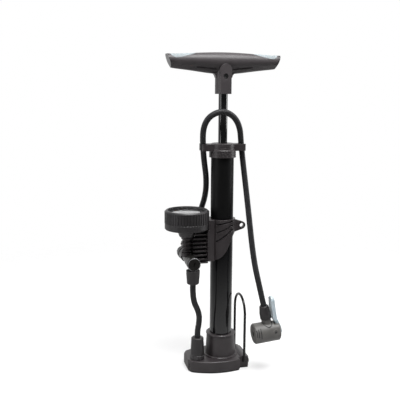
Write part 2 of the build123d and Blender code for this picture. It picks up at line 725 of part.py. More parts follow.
with BuildPart() as gauge_arm:
    with BuildSketch(Plane.XY.offset(BRACKET_LOW)):
        with Locations(((ARM_BLOCK_LEFT + ARM_BLOCK_RIGHT) / 2, 0)):
            RectangleRounded(ARM_BLOCK_RIGHT - ARM_BLOCK_LEFT, 2 * ARM_BLOCK_HALF, 1.5)
    extrude(amount=BRACKET_TOP - BRACKET_LOW)
    # web, post and ribs
    with BuildSketch(Plane.XY.offset(ARM_LOW)):
        with Locations(((GAUGE_X + ARM_BLOCK_LEFT) / 2, 0)):
            Rectangle(ARM_BLOCK_LEFT - GAUGE_X + 1, WEB_THICK)
    extrude(amount=GUARD_LOW - 1.2 - ARM_LOW)
    for radius, top in ((POST_R, POST_BOSS_TOP), (POST_CORE_R, POST_TOP)):
        with BuildSketch(Plane.XY.offset(POST_LOW)):
            with Locations((GAUGE_X, 0)):
                Circle(radius)
        extrude(amount=top - POST_LOW)
    for rib in range(RIB_COUNT):
        rib_low = ARM_LOW + rib * RIB_PITCH - (RIB_THICK / 2 if rib else 0)
        with BuildSketch(Plane.XY.offset(rib_low)):
            with Locations(((GAUGE_X + ARM_BLOCK_LEFT + POST_R) / 2, 0)):
                RectangleRounded(ARM_BLOCK_LEFT - GAUGE_X - POST_R + 4, 2 * RIB_HALF, 1.0)
            if rib_low > POST_LOW:
                with Locations((GAUGE_X, 0)):
                    Circle(POST_RING_R)
        extrude(amount=RIB_THICK)
    # room for the collar, the guard, the gauge's foot, the fitting and the gauge stem
    with BuildSketch(Plane.XY.offset(BRACKET_LOW - 10)):
        Circle(COLLAR_R + FIT)
    extrude(amount=BRACKET_TOP, mode=Mode.SUBTRACT)
    with BuildSketch(Plane.XY.offset(GUARD_LOW - 1)):
        with Locations((GAUGE_X, 0)):
            Circle(GUARD_R + 0.4)
    extrude(amount=40, mode=Mode.SUBTRACT)
    with BuildSketch(Plane(origin=(GAUGE_X, 0, 0), x_dir=(1, 0, 0), z_dir=(0, -1, 0))):
        with BuildLine():
            Polyline(
                (0, POST_TOP),
                (FOOT_R + 0.6, POST_TOP),
                (FOOT_R + 3.2, CONE_TOP - 0.6),
                (SHELL_R + 0.6, SHELL_LOW - 0.6),
                (SHELL_R + 0.6, GUARD_LOW),
                (0, GUARD_LOW),
                close=True,
            )
        make_face()
    revolve(axis=Axis((GAUGE_X, 0, 0), (0, 0, 1)), mode=Mode.SUBTRACT)
    with BuildSketch(Plane.XZ):
        with Locations((TEE_X, TEE_Z)):
            Circle(TEE_R + FIT)
    extrude(amount=30, both=True, mode=Mode.SUBTRACT)
    with BuildSketch(Plane.XY.offset(TEE_Z)):
        with Locations((GAUGE_X, 0)):
            Circle(5 + FIT)
    extrude(amount=40, mode=Mode.SUBTRACT)
    with BuildSketch(Plane(origin=(0, 0, 0), x_dir=(0, -1, 0), z_dir=(-1, 0, 0))):
        for y, z in ARM_SCREWS:
            with Locations((y, z)):
                Circle(SCREW_R + FIT)
    extrude(amount=26.6, mode=Mode.SUBTRACT)
    with BuildSketch(Plane(origin=(SCREW_SEAT_X, 0, 0), x_dir=(0, -1, 0), z_dir=(-1, 0, 0))):
        for y, z in ARM_SCREWS:
            with Locations((y, z)):
                Circle(4.2)
    extrude(amount=22, mode=Mode.SUBTRACT)
gauge_arm.part.label = "gauge_arm"
export_step(gauge_arm.part, "parts/gauge_arm.step")

with BuildPart() as bracket_screws:
    with BuildSketch(Plane(origin=(SCREW_TIP_X, 0, 0), x_dir=(0, -1, 0), z_dir=(-1, 0, 0))):
        for y, z in ARM_SCREWS:
            with Locations((y, z)):
                Circle(SCREW_R)
    extrude(amount=SCREW_TIP_X - SCREW_SEAT_X)
    with BuildSketch(Plane(origin=(SCREW_SEAT_X, 0, 0), x_dir=(0, -1, 0), z_dir=(-1, 0, 0))):
        for y, z in ARM_SCREWS:
            with Locations((y, z)):
                Circle(3.5)
                RegularPolygon(1.5, 6, mode=Mode.SUBTRACT)
    extrude(amount=2.6)
bracket_screws.part.label = "bracket_screws"
export_step(bracket_screws.part, "parts/bracket_screws.step")

# ================= fitting under the gauge =================
TEE_AXIS = Axis((TEE_X, 0, TEE_Z), (0, 1, 0))
TEE_PLANE = Plane(origin=(TEE_X, 0, TEE_Z), x_dir=(0, 1, 0), z_dir=(1, 0, 0))
SPIGOT_R = 5.0
SHOULDER_R = 9.3
WASHER = 1.0
FRONT_FACE = FRONT_Y + BANJO_HALF + WASHER
REAR_FACE = REAR_Y - BANJO_HALF - WASHER
BOLT_SHANK_R = 2.3

with BuildPart() as tee_body:
    with BuildSketch(TEE_PLANE):
        with BuildLine():
            Polyline(
                (FRONT_Y - BANJO_HALF, BOLT_SHANK_R + FIT),
                (FRONT_Y - BANJO_HALF, SPIGOT_R),
                (FRONT_FACE, SPIGOT_R),
                (FRONT_FACE, SHOULDER_R - 0.8),
                (FRONT_FACE + 0.8, SHOULDER_R),
                (-RIB_HALF - 0.4, SHOULDER_R),
                (-RIB_HALF - 0.4, TEE_R),
                (RIB_HALF + 0.4, TEE_R),
                (RIB_HALF + 0.4, SHOULDER_R),
                (REAR_FACE - 0.8, SHOULDER_R),
                (REAR_FACE, SHOULDER_R - 0.8),
                (REAR_FACE, SPIGOT_R),
                (REAR_Y + BANJO_HALF, SPIGOT_R),
                (REAR_Y + BANJO_HALF, BOLT_SHANK_R + FIT),
                close=True,
            )
        make_face()
    revolve(axis=TEE_AXIS)
tee_body.part.label = "tee_body"
export_step(tee_body.part, "parts/tee_body.step")

with BuildPart() as banjo_washers:
    for face_y in (FRONT_FACE, REAR_FACE + WASHER):
        with BuildSketch(Plane.XZ.offset(-face_y)):
            with Locations((TEE_X, TEE_Z)):
                Circle(BANJO_R - 0.8)
                Circle(SPIGOT_R + FIT, mode=Mode.SUBTRACT)
        extrude(amount=WASHER)
banjo_washers.part.label = "banjo_washers"
export_step(banjo_washers.part, "parts/banjo_washers.step")

STUB_R = 3.2
STUB_BORE_R = 1.5
STUB_LENGTH = 24.0
BOOT_START = 10.6

with BuildPart() as front_banjo:
    with BuildSketch(Plane.XZ.offset(-FRONT_Y - BANJO_HALF)):
        with Locations((TEE_X, TEE_Z)):
            Circle(BANJO_R)
    extrude(amount=2 * BANJO_HALF)
    chamfer(front_banjo.edges().filter_by(GeomType.CIRCLE), 0.6)
    with BuildSketch(Plane(origin=(TEE_X, FRONT_Y, TEE_Z), z_dir=(0, 0, -1))):
        Circle(STUB_R)
    extrude(amount=STUB_LENGTH)
    with BuildSketch(Plane(origin=(TEE_X, FRONT_Y, TEE_Z), z_dir=(0, 0, -1))):
        Circle(STUB_BORE_R)
    extrude(amount=STUB_LENGTH, mode=Mode.SUBTRACT)
    with BuildSketch(Plane.XZ.offset(-FRONT_Y - BANJO_HALF)):
        with Locations((TEE_X, TEE_Z)):
            Circle(SPIGOT_R + FIT)
    extrude(amount=2 * BANJO_HALF, mode=Mode.SUBTRACT)
front_banjo.part.label = "front_banjo"
export_step(front_banjo.part, "parts/front_banjo.step")

rear_stub_plane = Plane(origin=REAR_CENTRE, z_dir=REAR_RUN)

with BuildPart() as rear_banjo:
    with BuildSketch(Plane.XZ.offset(-REAR_Y - BANJO_HALF)):
        with Locations((TEE_X, TEE_Z)):
            Circle(BANJO_R)
    extrude(amount=2 * BANJO_HALF)
    chamfer(rear_banjo.edges().filter_by(GeomType.CIRCLE), 0.6)
    with BuildSketch(rear_stub_plane):
        Circle(STUB_R)
    extrude(amount=STUB_LENGTH)
    with BuildSketch(rear_stub_plane):
        Circle(STUB_BORE_R)
    extrude(amount=STUB_LENGTH, mode=Mode.SUBTRACT)
    with BuildSketch(Plane.XZ.offset(-REAR_Y - BANJO_HALF)):
        with Locations((TEE_X, TEE_Z)):
            Circle(SPIGOT_R + FIT)
    extrude(amount=2 * BANJO_HALF, mode=Mode.SUBTRACT)
rear_banjo.part.label = "rear_banjo"
export_step(rear_banjo.part, "parts/rear_banjo.step")

HEAD_R = 9.6
HEAD_T = 3.4

with BuildPart() as front_bolt:
    with BuildSketch(Plane.XZ.offset(-FRONT_Y + BANJO_HALF)):
        with Locations((TEE_X, TEE_Z)):
            Circle(HEAD_R)
    extrude(amount=HEAD_T)
    fillet(front_bolt.faces().sort_by(Axis.Y)[0].edges(), 1.4)
    with BuildSketch(Plane.XZ.offset(-FRONT_Y + BANJO_HALF + HEAD_T - 1.6)):
        with Locations((TEE_X, TEE_Z)):
            SlotOverall(8.0, 2.0, rotation=75)
    extrude(amount=3, mode=Mode.SUBTRACT)
    with BuildSketch(Plane.XZ.offset(-FRONT_Y + BANJO_HALF)):
        with Locations((TEE_X, TEE_Z)):
            Circle(BOLT_SHANK_R)
    extrude(amount=-9)
front_bolt.part.label = "front_bolt"
export_step(front_bolt.part, "parts/front_bolt.step")

with BuildPart() as rear_bolt:
    with BuildSketch(Plane.XZ.offset(-REAR_Y - BANJO_HALF)):
        with Locations((TEE_X, TEE_Z)):
            Circle(HEAD_R)
    extrude(amount=-HEAD_T)
    fillet(rear_bolt.faces().sort_by(Axis.Y)[-1].edges(), 1.4)
    with BuildSketch(Plane.XZ.offset(-REAR_Y - BANJO_HALF - HEAD_T + 1.6)):
        with Locations((TEE_X, TEE_Z)):
            SlotOverall(8.0, 2.0, rotation=90)
    extrude(amount=-3, mode=Mode.SUBTRACT)
    with BuildSketch(Plane.XZ.offset(-REAR_Y - BANJO_HALF)):
        with Locations((TEE_X, TEE_Z)):
            Circle(BOLT_SHANK_R)
    extrude(amount=9)
rear_bolt.part.label = "rear_bolt"
export_step(rear_bolt.part, "parts/rear_bolt.step")

UPPER_BOOT_LENGTH = TEE_Z - GAUGE_ROUTE[0][2]
upper_boot_plane = Plane(origin=(TEE_X, FRONT_Y, TEE_Z), x_dir=(1, 0, 0), z_dir=(0, 1, 0))

with BuildPart() as upper_boot:
    with BuildSketch(upper_boot_plane):
        with BuildLine():
            Polyline(
                (STUB_R + FIT, BOOT_START),
                (10.3, BOOT_START),
                (10.3, BOOT_START + 4),
                (9.2, UPPER_BOOT_LENGTH - 1),
                (8.2, UPPER_BOOT_LENGTH),
                (HOSE_BORE_R, UPPER_BOOT_LENGTH),
                (HOSE_BORE_R, STUB_LENGTH + 1),
                (STUB_R + FIT, STUB_LENGTH + 1),
                close=True,
            )
        make_face()
    revolve(axis=Axis((TEE_X, FRONT_Y, TEE_Z), (0, 0, -1)))
upper_boot.part.label = "upper_boot"
export_step(upper_boot.part, "parts/upper_boot.step")

rear_side = REAR_RUN.cross(Vector(0, 1, 0)).normalized()
rear_boot_plane = Plane(origin=REAR_CENTRE, x_dir=rear_side, z_dir=rear_side.cross(REAR_RUN))

with BuildPart() as rear_boot:
    with BuildSketch(rear_boot_plane):
        with BuildLine():
            Polyline(
                (STUB_R + FIT, BOOT_START),
                (9.8, BOOT_START),
                (9.8, BOOT_START + 5),
                (8.6, REAR_SPAN - 1),
                (7.8, REAR_SPAN),
                (HOSE_BORE_R, REAR_SPAN),
                (HOSE_BORE_R, STUB_LENGTH + 1),
                (STUB_R + FIT, STUB_LENGTH + 1),
                close=True,
            )
        make_face()
    revolve(axis=Axis(REAR_CENTRE, REAR_RUN))
rear_boot.part.label = "rear_boot"
export_step(rear_boot.part, "parts/rear_boot.step")

# ================= gauge =================
GAUGE_AXIS = Axis((GAUGE_X, 0, 0), (0, 0, 1))
GAUGE_PLANE = Plane(origin=(GAUGE_X, 0, 0), x_dir=(1, 0, 0), z_dir=(0, -1, 0))
CUP_R = 31.0
CUP_BORE_R = 29.0
CUP_FLOOR = 229.5
CUP_TOP = 250.0
GASKET_TOP = 250.8
LENS_TOP = 252.6
BEZEL_TOP = 254.0
GUARD_TOP = 256.0
ARBOR_R = 0.7
ARBOR_HOLE_R = ARBOR_R + RUNNING
PIVOT_Y = 13.0

with BuildPart() as gauge_housing:
    with BuildSketch(GAUGE_PLANE):
        with BuildLine():
            Polyline(
                (0, 189),
                (5, 189),
                (5, POST_TOP),
                (FOOT_R - 1.2, POST_TOP),
                (FOOT_R, POST_TOP + 1.2),
                (FOOT_R + 2.6, CONE_TOP),
                (SHELL_R, SHELL_LOW),
                (CUP_R, 228),
                (CUP_R, CUP_TOP),
                (CUP_BORE_R, CUP_TOP),
                (CUP_BORE_R, CUP_FLOOR),
                (0, CUP_FLOOR),
                close=True,
            )
        make_face()
    revolve(axis=GAUGE_AXIS)
    with BuildSketch(Plane.XY.offset(CUP_FLOOR - 1.2)):
        with Locations((GAUGE_X, 0), (GAUGE_X, PIVOT_Y)):
            Circle(ARBOR_HOLE_R)
    extrude(amount=5, mode=Mode.SUBTRACT)
gauge_housing.part.label = "gauge_housing"
export_step(gauge_housing.part, "parts/gauge_housing.step")

KNURL_COUNT = 48

with BuildPart() as gauge_guard:
    with BuildSketch(GAUGE_PLANE):
        with BuildLine():
            Polyline(
                (CUP_R + FIT, GUARD_LOW + 1.5),
                (CUP_R + 1.5, GUARD_LOW),
                (GUARD_R - 1.5, GUARD_LOW),
                (GUARD_R - 0.3, GUARD_LOW + 1.5),
                (GUARD_R - 0.3, GUARD_LOW + 9.5),
                (GUARD_R - 1.1, GUARD_LOW + 10.3),
                (GUARD_R - 1.1, GUARD_TOP - 1.5),
                (GUARD_R - 2.4, GUARD_TOP),
                (CUP_BORE_R + 0.8, GUARD_TOP),
                (CUP_BORE_R + 0.3, BEZEL_TOP),
                (CUP_R + FIT, BEZEL_TOP),
                close=True,
            )
        make_face()
    revolve(axis=GAUGE_AXIS)
    with BuildSketch(Plane.XY.offset(GUARD_LOW + 9.8)):
        with Locations((GAUGE_X, 0)):
            with PolarLocations(GUARD_R - 1.2, KNURL_COUNT):
                Rectangle(2.2, 2.4)
    extrude(amount=GUARD_TOP - GUARD_LOW - 11.8)
gauge_guard.part.label = "gauge_guard"
export_step(gauge_guard.part, "parts/gauge_guard.step")

with BuildPart() as lens_gasket:
    with BuildSketch(Plane.XY.offset(CUP_TOP)):
        with Locations((GAUGE_X, 0)):
            Circle(CUP_R - 0.1)
            Circle(CUP_BORE_R, mode=Mode.SUBTRACT)
    extrude(amount=GASKET_TOP - CUP_TOP)
lens_gasket.part.label = "lens_gasket"
export_step(lens_gasket.part, "parts/lens_gasket.step")

with BuildPart() as gauge_lens:
    with BuildSketch(Plane.XY.offset(GASKET_TOP)):
        with Locations((GAUGE_X, 0)):
            Circle(CUP_R - 0.1)
    extrude(amount=LENS_TOP - GASKET_TOP)
gauge_lens.part.label = "gauge_lens"
export_step(gauge_lens.part, "parts/gauge_lens.step")

with BuildPart() as gauge_bezel:
    with BuildSketch(Plane.XY.offset(LENS_TOP)):
        with Locations((GAUGE_X, 0)):
            Circle(CUP_R - 0.1)
            Circle(CUP_BORE_R, mode=Mode.SUBTRACT)
    extrude(amount=BEZEL_TOP - LENS_TOP)
gauge_bezel.part.label = "gauge_bezel"
export_step(gauge_bezel.part, "parts/gauge_bezel.step")

DIAL_R = 28.7
PLATE_LOW = 238.0
PLATE_TOP = 239.6
PILLARS = [(-12.0, -2.0), (12.0, -2.0), (0.0, -12.0)]

with BuildPart() as movement_plate:
    with BuildSketch(Plane.XY.offset(PLATE_LOW)):
        with Locations((GAUGE_X, 0)):
            Circle(15.5)
            Circle(ARBOR_HOLE_R, mode=Mode.SUBTRACT)
        with Locations((GAUGE_X, PIVOT_Y)):
            Circle(ARBOR_HOLE_R, mode=Mode.SUBTRACT)
    extrude(amount=PLATE_TOP - PLATE_LOW)
    with BuildSketch(Plane.XY.offset(CUP_FLOOR)):
        for dx, dy in PILLARS:
            with Locations((GAUGE_X + dx, dy)):
                Circle(1.5)
    extrude(amount=DIAL_TOP - 1 - CUP_FLOOR)
movement_plate.part.label = "movement_plate"
export_step(movement_plate.part, "parts/movement_plate.step")

with BuildPart() as gauge_dial:
    with BuildSketch(Plane.XY.offset(DIAL_TOP - 1)):
        with Locations((GAUGE_X, 0)):
            Circle(DIAL_R)
            Circle(1.3, mode=Mode.SUBTRACT)
    extrude(amount=1)
gauge_dial.part.label = "gauge_dial"
export_step(gauge_dial.part, "parts/gauge_dial.step")

NEEDLE_LOW = 245.8
NEEDLE_TOP = 246.8
NEEDLE_ANGLE = 216.0
POINTER = 23.4
TAIL = 11.6
PINION_R = 2.5
SECTOR_R = 10.2

with BuildPart() as gauge_needle:
    needle_run = Vector(1, 0, 0).rotate(Axis.Z, NEEDLE_ANGLE)
    with BuildSketch(Plane(origin=(GAUGE_X, 0, NEEDLE_LOW), x_dir=needle_run)):
        with BuildLine():
            Polyline((-TAIL, 1.7), (0, 1.2), (POINTER, 0.3), (POINTER, -0.3), (0, -1.2), (-TAIL, -1.7),
                     (-TAIL + 3, 0), close=True)
        make_face()
        Circle(3.4)
        Circle(ARBOR_R, mode=Mode.SUBTRACT)
    extrude(amount=NEEDLE_TOP - NEEDLE_LOW)
gauge_needle.part.label = "gauge_needle"
export_step(gauge_needle.part, "parts/gauge_needle.step")

with BuildPart() as gauge_arbor:
    with BuildSketch(Plane.XY.offset(CUP_FLOOR - 0.8)):
        with Locations((GAUGE_X, 0)):
            Circle(ARBOR_R)
    extrude(amount=NEEDLE_TOP - CUP_FLOOR + 0.8)
    with BuildSketch(Plane.XY.offset(NEEDLE_TOP)):
        with Locations((GAUGE_X, 0)):
            Circle(1.7)
    extrude(amount=1.2)
    with BuildSketch(Plane.XY.offset(232)):
        with Locations((GAUGE_X, 0)):
            Circle(PINION_R)
    extrude(amount=3)
gauge_arbor.part.label = "gauge_arbor"
export_step(gauge_arbor.part, "parts/gauge_arbor.step")

SECTOR_START = -160.0
SECTOR_SWEEP = 82.0

with BuildPart() as gauge_sector:
    with BuildSketch(Plane.XY.offset(232.5)):
        with BuildLine():
            start = (GAUGE_X + SECTOR_R * math.cos(math.radians(SECTOR_START)),
                     PIVOT_Y + SECTOR_R * math.sin(math.radians(SECTOR_START)))
            arc = CenterArc((GAUGE_X, PIVOT_Y), SECTOR_R, SECTOR_START, SECTOR_SWEEP)
            Line((GAUGE_X, PIVOT_Y), start)
            Line(arc @ 1, (GAUGE_X, PIVOT_Y))
        make_face()
        with Locations((GAUGE_X, PIVOT_Y)):
            Circle(2.2)
    extrude(amount=2)
    with BuildSketch(Plane.XY.offset(CUP_FLOOR - 0.8)):
        with Locations((GAUGE_X, PIVOT_Y)):
            Circle(ARBOR_R)
    extrude(amount=PLATE_TOP - CUP_FLOOR + 1.2)
gauge_sector.part.label = "gauge_sector"
export_step(gauge_sector.part, "parts/gauge_sector.step")

BOURDON_R = 24.0
BOURDON_Z = 235.5

with BuildPart() as bourdon_tube:
    with BuildLine() as bourdon_path:
        CenterArc((GAUGE_X, 0, BOURDON_Z), BOURDON_R, -70, 250)
    with BuildSketch(Plane(origin=bourdon_path.line @ 0, z_dir=bourdon_path.line % 0)):
        Ellipse(1.4, 2.8, rotation=90)
    sweep(path=bourdon_path.line)
    with BuildSketch(Plane.XY.offset(CUP_FLOOR)):
        with Locations((GAUGE_X + BOURDON_R * math.cos(math.radians(-66)),
                        BOURDON_R * math.sin(math.radians(-66)))):
            Rectangle(5, 3.4, rotation=24)
    extrude(amount=BOURDON_Z - CUP_FLOOR)
bourdon_tube.part.label = "bourdon_tube"
export_step(bourdon_tube.part, "parts/bourdon_tube.step")

# ================= hoses =================
with BuildPart() as main_hose:
    with BuildLine() as main_path:
        FilletPolyline(*MAIN_ROUTE, radius=route_radii(MAIN_ROUTE))
    with BuildSketch(Plane(origin=main_path.line @ 0, z_dir=main_path.line % 0)):
        Circle(HOSE_R)
        Circle(HOSE_BORE_R, mode=Mode.SUBTRACT)
    sweep(path=main_path.line)
main_hose.part.label = "main_hose"
export_step(main_hose.part, "parts/main_hose.step")

with BuildPart() as gauge_hose:
    with BuildLine() as gauge_path:
        FilletPolyline(*GAUGE_ROUTE, radius=route_radii(GAUGE_ROUTE))
    with BuildSketch(Plane(origin=gauge_path.line @ 0, z_dir=gauge_path.line % 0)):
        Circle(HOSE_R)
        Circle(HOSE_BORE_R, mode=Mode.SUBTRACT)
    sweep(path=gauge_path.line)
gauge_hose.part.label = "gauge_hose"
export_step(gauge_hose.part, "parts/gauge_hose.step")

HOSE_AREA = math.pi * (HOSE_R**2 - HOSE_BORE_R**2)
for name, path, hose in (("main", main_path, main_hose), ("gauge", gauge_path, gauge_hose)):
    run = sum(edge.length for edge in path.edges())
    share = hose.part.volume / (HOSE_AREA * run)
    print(name, "length", round(run, 1), "volume over section x length", round(share, 4))
print("main radii", [round(r, 1) for r in route_radii(MAIN_ROUTE)])
print("gauge radii", [round(r, 1) for r in route_radii(GAUGE_ROUTE)])

# ================= chuck =================
# the neck runs on from the hose; the body lies across it, nearly level
HOSE_END = Vector(*MAIN_ROUTE[-1])
NECK_RUN = (HOSE_END - Vector(*MAIN_ROUTE[-2])).normalized()
NECK_SPAN = 43.5
BODY_RISE = 5.0
BODY_RUN = Vector(1, 0, 0).rotate(Axis.Y, -BODY_RISE)
NECK_SIDE = Vector(0, 1, 0).cross(NECK_RUN * -1).normalized()
CHUCK_AT = HOSE_END + NECK_RUN * NECK_SPAN
chuck_plane = Plane(origin=CHUCK_AT, x_dir=BODY_RUN, z_dir=(0, -1, 0))
neck_plane = Plane(origin=CHUCK_AT, x_dir=NECK_SIDE, z_dir=(0, -1, 0))
body_axis = Axis(CHUCK_AT, BODY_RUN)
neck_axis = Axis(CHUCK_AT, NECK_RUN)

MOUTH_END = -24.4
MOUTH_JOINT = -19.0
MOUTH_R = 15.9
MOUTH_BORE_R = 4.4
BODY_R = 15.6
BODY_END = 16.8
FLAT_START = 7.8
FLAT_TOP = 12.5
CHAMBER_END = 0.8
CHUCK_BORE_R = 7.2
NECK_R = 7.4
NECK_TOP = 22.5
BARB_END = 39.0
PIN = (7.6, 2.6)
PIN_R = 2.0
PIN_HALF = 15.6
HUB_R = 5.9
SLOT_HALF = 4.8
# the lever's edge circles: along the body, up from it, radius
LEVER_FOOT = (19.2, -1.8, 2.4)
LEVER_ELBOW = (17.4, 6.8, 2.6)
LEVER_KNEE = (10.75, 21.2, 2.9)
LEVER_MID = (8.9, 39.1, 2.9)
LEVER_TIP = (8.6, 54.0, 2.4)
BLADE_HALF = 7.0

with BuildPart() as chuck_body:
    with BuildSketch(chuck_plane):
        with BuildLine():
            Polyline(
                (MOUTH_JOINT, 0),
                (MOUTH_JOINT, MOUTH_R),
                (BODY_END - 1.6, BODY_R),
                (BODY_END, BODY_R - 1.6),
                (BODY_END, 0),
                close=True,
            )
        make_face()
    revolve(axis=body_axis)
    # flat over the lever's cheeks
    with BuildSketch(chuck_plane.offset(-BODY_R - 1)):
        with Locations((FLAT_START + BODY_END / 2, FLAT_TOP + BODY_R / 2)):
            Rectangle(BODY_END, BODY_R)
    extrude(amount=2 * BODY_R + 2, mode=Mode.SUBTRACT)
    with BuildSketch(neck_plane):
        with BuildLine():
            Polyline(
                (0, 2),
                (NECK_R, 2),
                (NECK_R, NECK_TOP - 1),
                (NECK_R - 1, NECK_TOP),
                (STUB_R, NECK_TOP),
                (STUB_R, BARB_END),
                (0, BARB_END),
                close=True,
            )
        make_face()
    revolve(axis=neck_axis)
    # pin bosses
    with BuildSketch(chuck_plane.offset(-PIN_HALF)):
        with Locations(PIN):
            Circle(4.4)
    extrude(amount=2 * PIN_HALF)
    # bores: mouth thread, seal chamber, air way, pin
    with BuildSketch(chuck_plane):
        with BuildLine():
            Polyline((MOUTH_JOINT - 1, 0), (MOUTH_JOINT - 1, 10), (MOUTH_JOINT + 4, 10),
                     (MOUTH_JOINT + 4, CHUCK_BORE_R), (CHAMBER_END, CHUCK_BORE_R), (CHAMBER_END, 0),
                     close=True)
        make_face()
    revolve(axis=body_axis, mode=Mode.SUBTRACT)
    with BuildSketch(Plane(origin=CHUCK_AT + NECK_RUN * -5, z_dir=NECK_RUN * -1)):
        Circle(STUB_BORE_R)
    extrude(amount=40, mode=Mode.SUBTRACT)
    with BuildSketch(chuck_plane.offset(-20)):
        with Locations(PIN):
            Circle(PIN_R + 0.02)
    extrude(amount=40, mode=Mode.SUBTRACT)
    # slot the lever swings in
    with BuildSketch(chuck_plane.offset(-SLOT_HALF)):
        with Locations(PIN):
            Circle(HUB_R + 0.8)
        with Locations((PIN[0] + 15, 0)):
            Rectangle(30, 34)
        with Locations((PIN[0] + 10.5, -10)):
            Rectangle(39, 20)
    extrude(amount=2 * SLOT_HALF, mode=Mode.SUBTRACT)
chuck_body.part.label = "chuck_body"
export_step(chuck_body.part, "parts/chuck_body.step")

with BuildPart() as chuck_cap:
    with BuildSketch(chuck_plane):
        with BuildLine():
            Polyline((MOUTH_END, MOUTH_BORE_R), (MOUTH_END, MOUTH_R - 1.6), (MOUTH_END + 1.6, MOUTH_R),
                     (MOUTH_JOINT, MOUTH_R), (MOUTH_JOINT, 9.95), (MOUTH_JOINT + 3.9, 9.95),
                     (MOUTH_JOINT + 3.9, MOUTH_BORE_R), close=True)
        make_face()
    revolve(axis=body_axis)
chuck_cap.part.label = "chuck_cap"
export_step(chuck_cap.part, "parts/chuck_cap.step")

with BuildPart() as chuck_seal:
    with BuildSketch(Plane(origin=CHUCK_AT + BODY_RUN * (MOUTH_JOINT + 4), z_dir=BODY_RUN)):
        Circle(CHUCK_BORE_R - 0.05)
        Circle(3.9, mode=Mode.SUBTRACT)
    extrude(amount=5.5)
chuck_seal.part.label = "chuck_seal"
export_step(chuck_seal.part, "parts/chuck_seal.step")

with BuildPart() as chuck_plunger:
    with BuildSketch(Plane(origin=CHUCK_AT + BODY_RUN * -7.2, z_dir=BODY_RUN)):
        Circle(CHUCK_BORE_R - RUNNING)
        Circle(2.6, mode=Mode.SUBTRACT)
    extrude(amount=5)
    with BuildSketch(Plane(origin=CHUCK_AT + BODY_RUN * -2.2, z_dir=BODY_RUN)):
        Circle(CHUCK_BORE_R - RUNNING)
    extrude(amount=2.2)
chuck_plunger.part.label = "chuck_plunger"
export_step(chuck_plunger.part, "parts/chuck_plunger.step")

with BuildPart() as chuck_lever:
    # narrow root that turns in the slot
    with BuildSketch(chuck_plane.offset(-SLOT_HALF + 0.4)):
        with BuildLine():
            CenterArc(PIN, HUB_R, 0, 360)
            CenterArc(LEVER_FOOT[:2], LEVER_FOOT[2], 0, 360)
            CenterArc(LEVER_ELBOW[:2], LEVER_ELBOW[2], 0, 360)
        make_hull()
    extrude(amount=2 * SLOT_HALF - 0.8)
    # then the blade, which is wider beside the neck
    spans = [(LEVER_ELBOW, LEVER_KNEE, SLOT_HALF - 0.4), (LEVER_KNEE, LEVER_MID, BLADE_HALF),
             (LEVER_MID, LEVER_TIP, BLADE_HALF)]
    for low, high, half in spans:
        with BuildSketch(chuck_plane.offset(-half)):
            with BuildLine():
                CenterArc(low[:2], low[2], 0, 360)
                CenterArc(high[:2], high[2], 0, 360)
            make_hull()
        extrude(amount=2 * half)
    # the blade's end is round, like a tongue
    tongue_top = LEVER_TIP[1] + LEVER_TIP[2]
    with BuildSketch(Plane(origin=CHUCK_AT, x_dir=(0, 1, 0), z_dir=BODY_RUN)):
        with Locations((0, tongue_top / 2 - BODY_R)):
            SlotOverall(tongue_top + 2 * BODY_R, 2 * BLADE_HALF + 0.2, rotation=90)
    extrude(amount=2 * BODY_R, both=True, mode=Mode.INTERSECT)
    with BuildSketch(chuck_plane.offset(-SLOT_HALF)):
        with Locations(PIN):
            Circle(PIN_R + RUNNING)
    extrude(amount=2 * SLOT_HALF, mode=Mode.SUBTRACT)
chuck_lever.part.label = "chuck_lever"
export_step(chuck_lever.part, "parts/chuck_lever.step")

with BuildPart() as chuck_pin:
    with BuildSketch(chuck_plane.offset(-PIN_HALF)):
        with Locations(PIN):
            Circle(PIN_R)
    extrude(amount=2 * PIN_HALF)
chuck_pin.part.label = "chuck_pin"
export_step(chuck_pin.part, "parts/chuck_pin.step")

with BuildPart() as chuck_boot:
    with BuildSketch(neck_plane):
        with BuildLine():
            Polyline(
                (STUB_R + FIT, NECK_TOP),
                (8.6, NECK_TOP),
                (8.6, NECK_TOP + 9),
                (7.0, NECK_SPAN - 1),
                (6.2, NECK_SPAN),
                (HOSE_BORE_R, NECK_SPAN),
                (HOSE_BORE_R, BARB_END + 1),
                (STUB_R + FIT, BARB_END + 1),
                close=True,
            )
        make_face()
    revolve(axis=neck_axis)
chuck_boot.part.label = "chuck_boot"
export_step(chuck_boot.part, "parts/chuck_boot.step")
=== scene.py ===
import math

import bmesh
import bpy
from mathutils import Matrix, Vector


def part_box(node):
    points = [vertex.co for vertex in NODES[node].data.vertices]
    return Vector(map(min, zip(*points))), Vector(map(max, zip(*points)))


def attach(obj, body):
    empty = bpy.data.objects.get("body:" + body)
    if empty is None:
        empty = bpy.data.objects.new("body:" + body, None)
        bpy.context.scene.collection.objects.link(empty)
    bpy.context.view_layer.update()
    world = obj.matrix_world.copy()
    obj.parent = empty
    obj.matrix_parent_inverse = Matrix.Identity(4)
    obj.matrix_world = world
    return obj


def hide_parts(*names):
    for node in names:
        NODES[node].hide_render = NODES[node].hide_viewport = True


# Floor bike pump. Metres, origin on the barrel axis at the floor, +Z up, front -Y.
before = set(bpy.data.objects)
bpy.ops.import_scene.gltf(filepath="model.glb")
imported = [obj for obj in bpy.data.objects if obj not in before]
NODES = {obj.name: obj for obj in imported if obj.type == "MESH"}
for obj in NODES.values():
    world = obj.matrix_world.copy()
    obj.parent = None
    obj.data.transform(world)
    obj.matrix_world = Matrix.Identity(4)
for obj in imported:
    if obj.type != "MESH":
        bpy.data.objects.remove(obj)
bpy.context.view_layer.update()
MM = 0.001


# ================= camera =================
CAMERA_AT = Vector((-0.2585, -0.9017, 0.431))
LOOK_TURN = math.radians(13.92)
LOOK_DOWN = math.radians(9.8)
LOOK_ROLL = math.radians(0.31)
LENS = 55.3


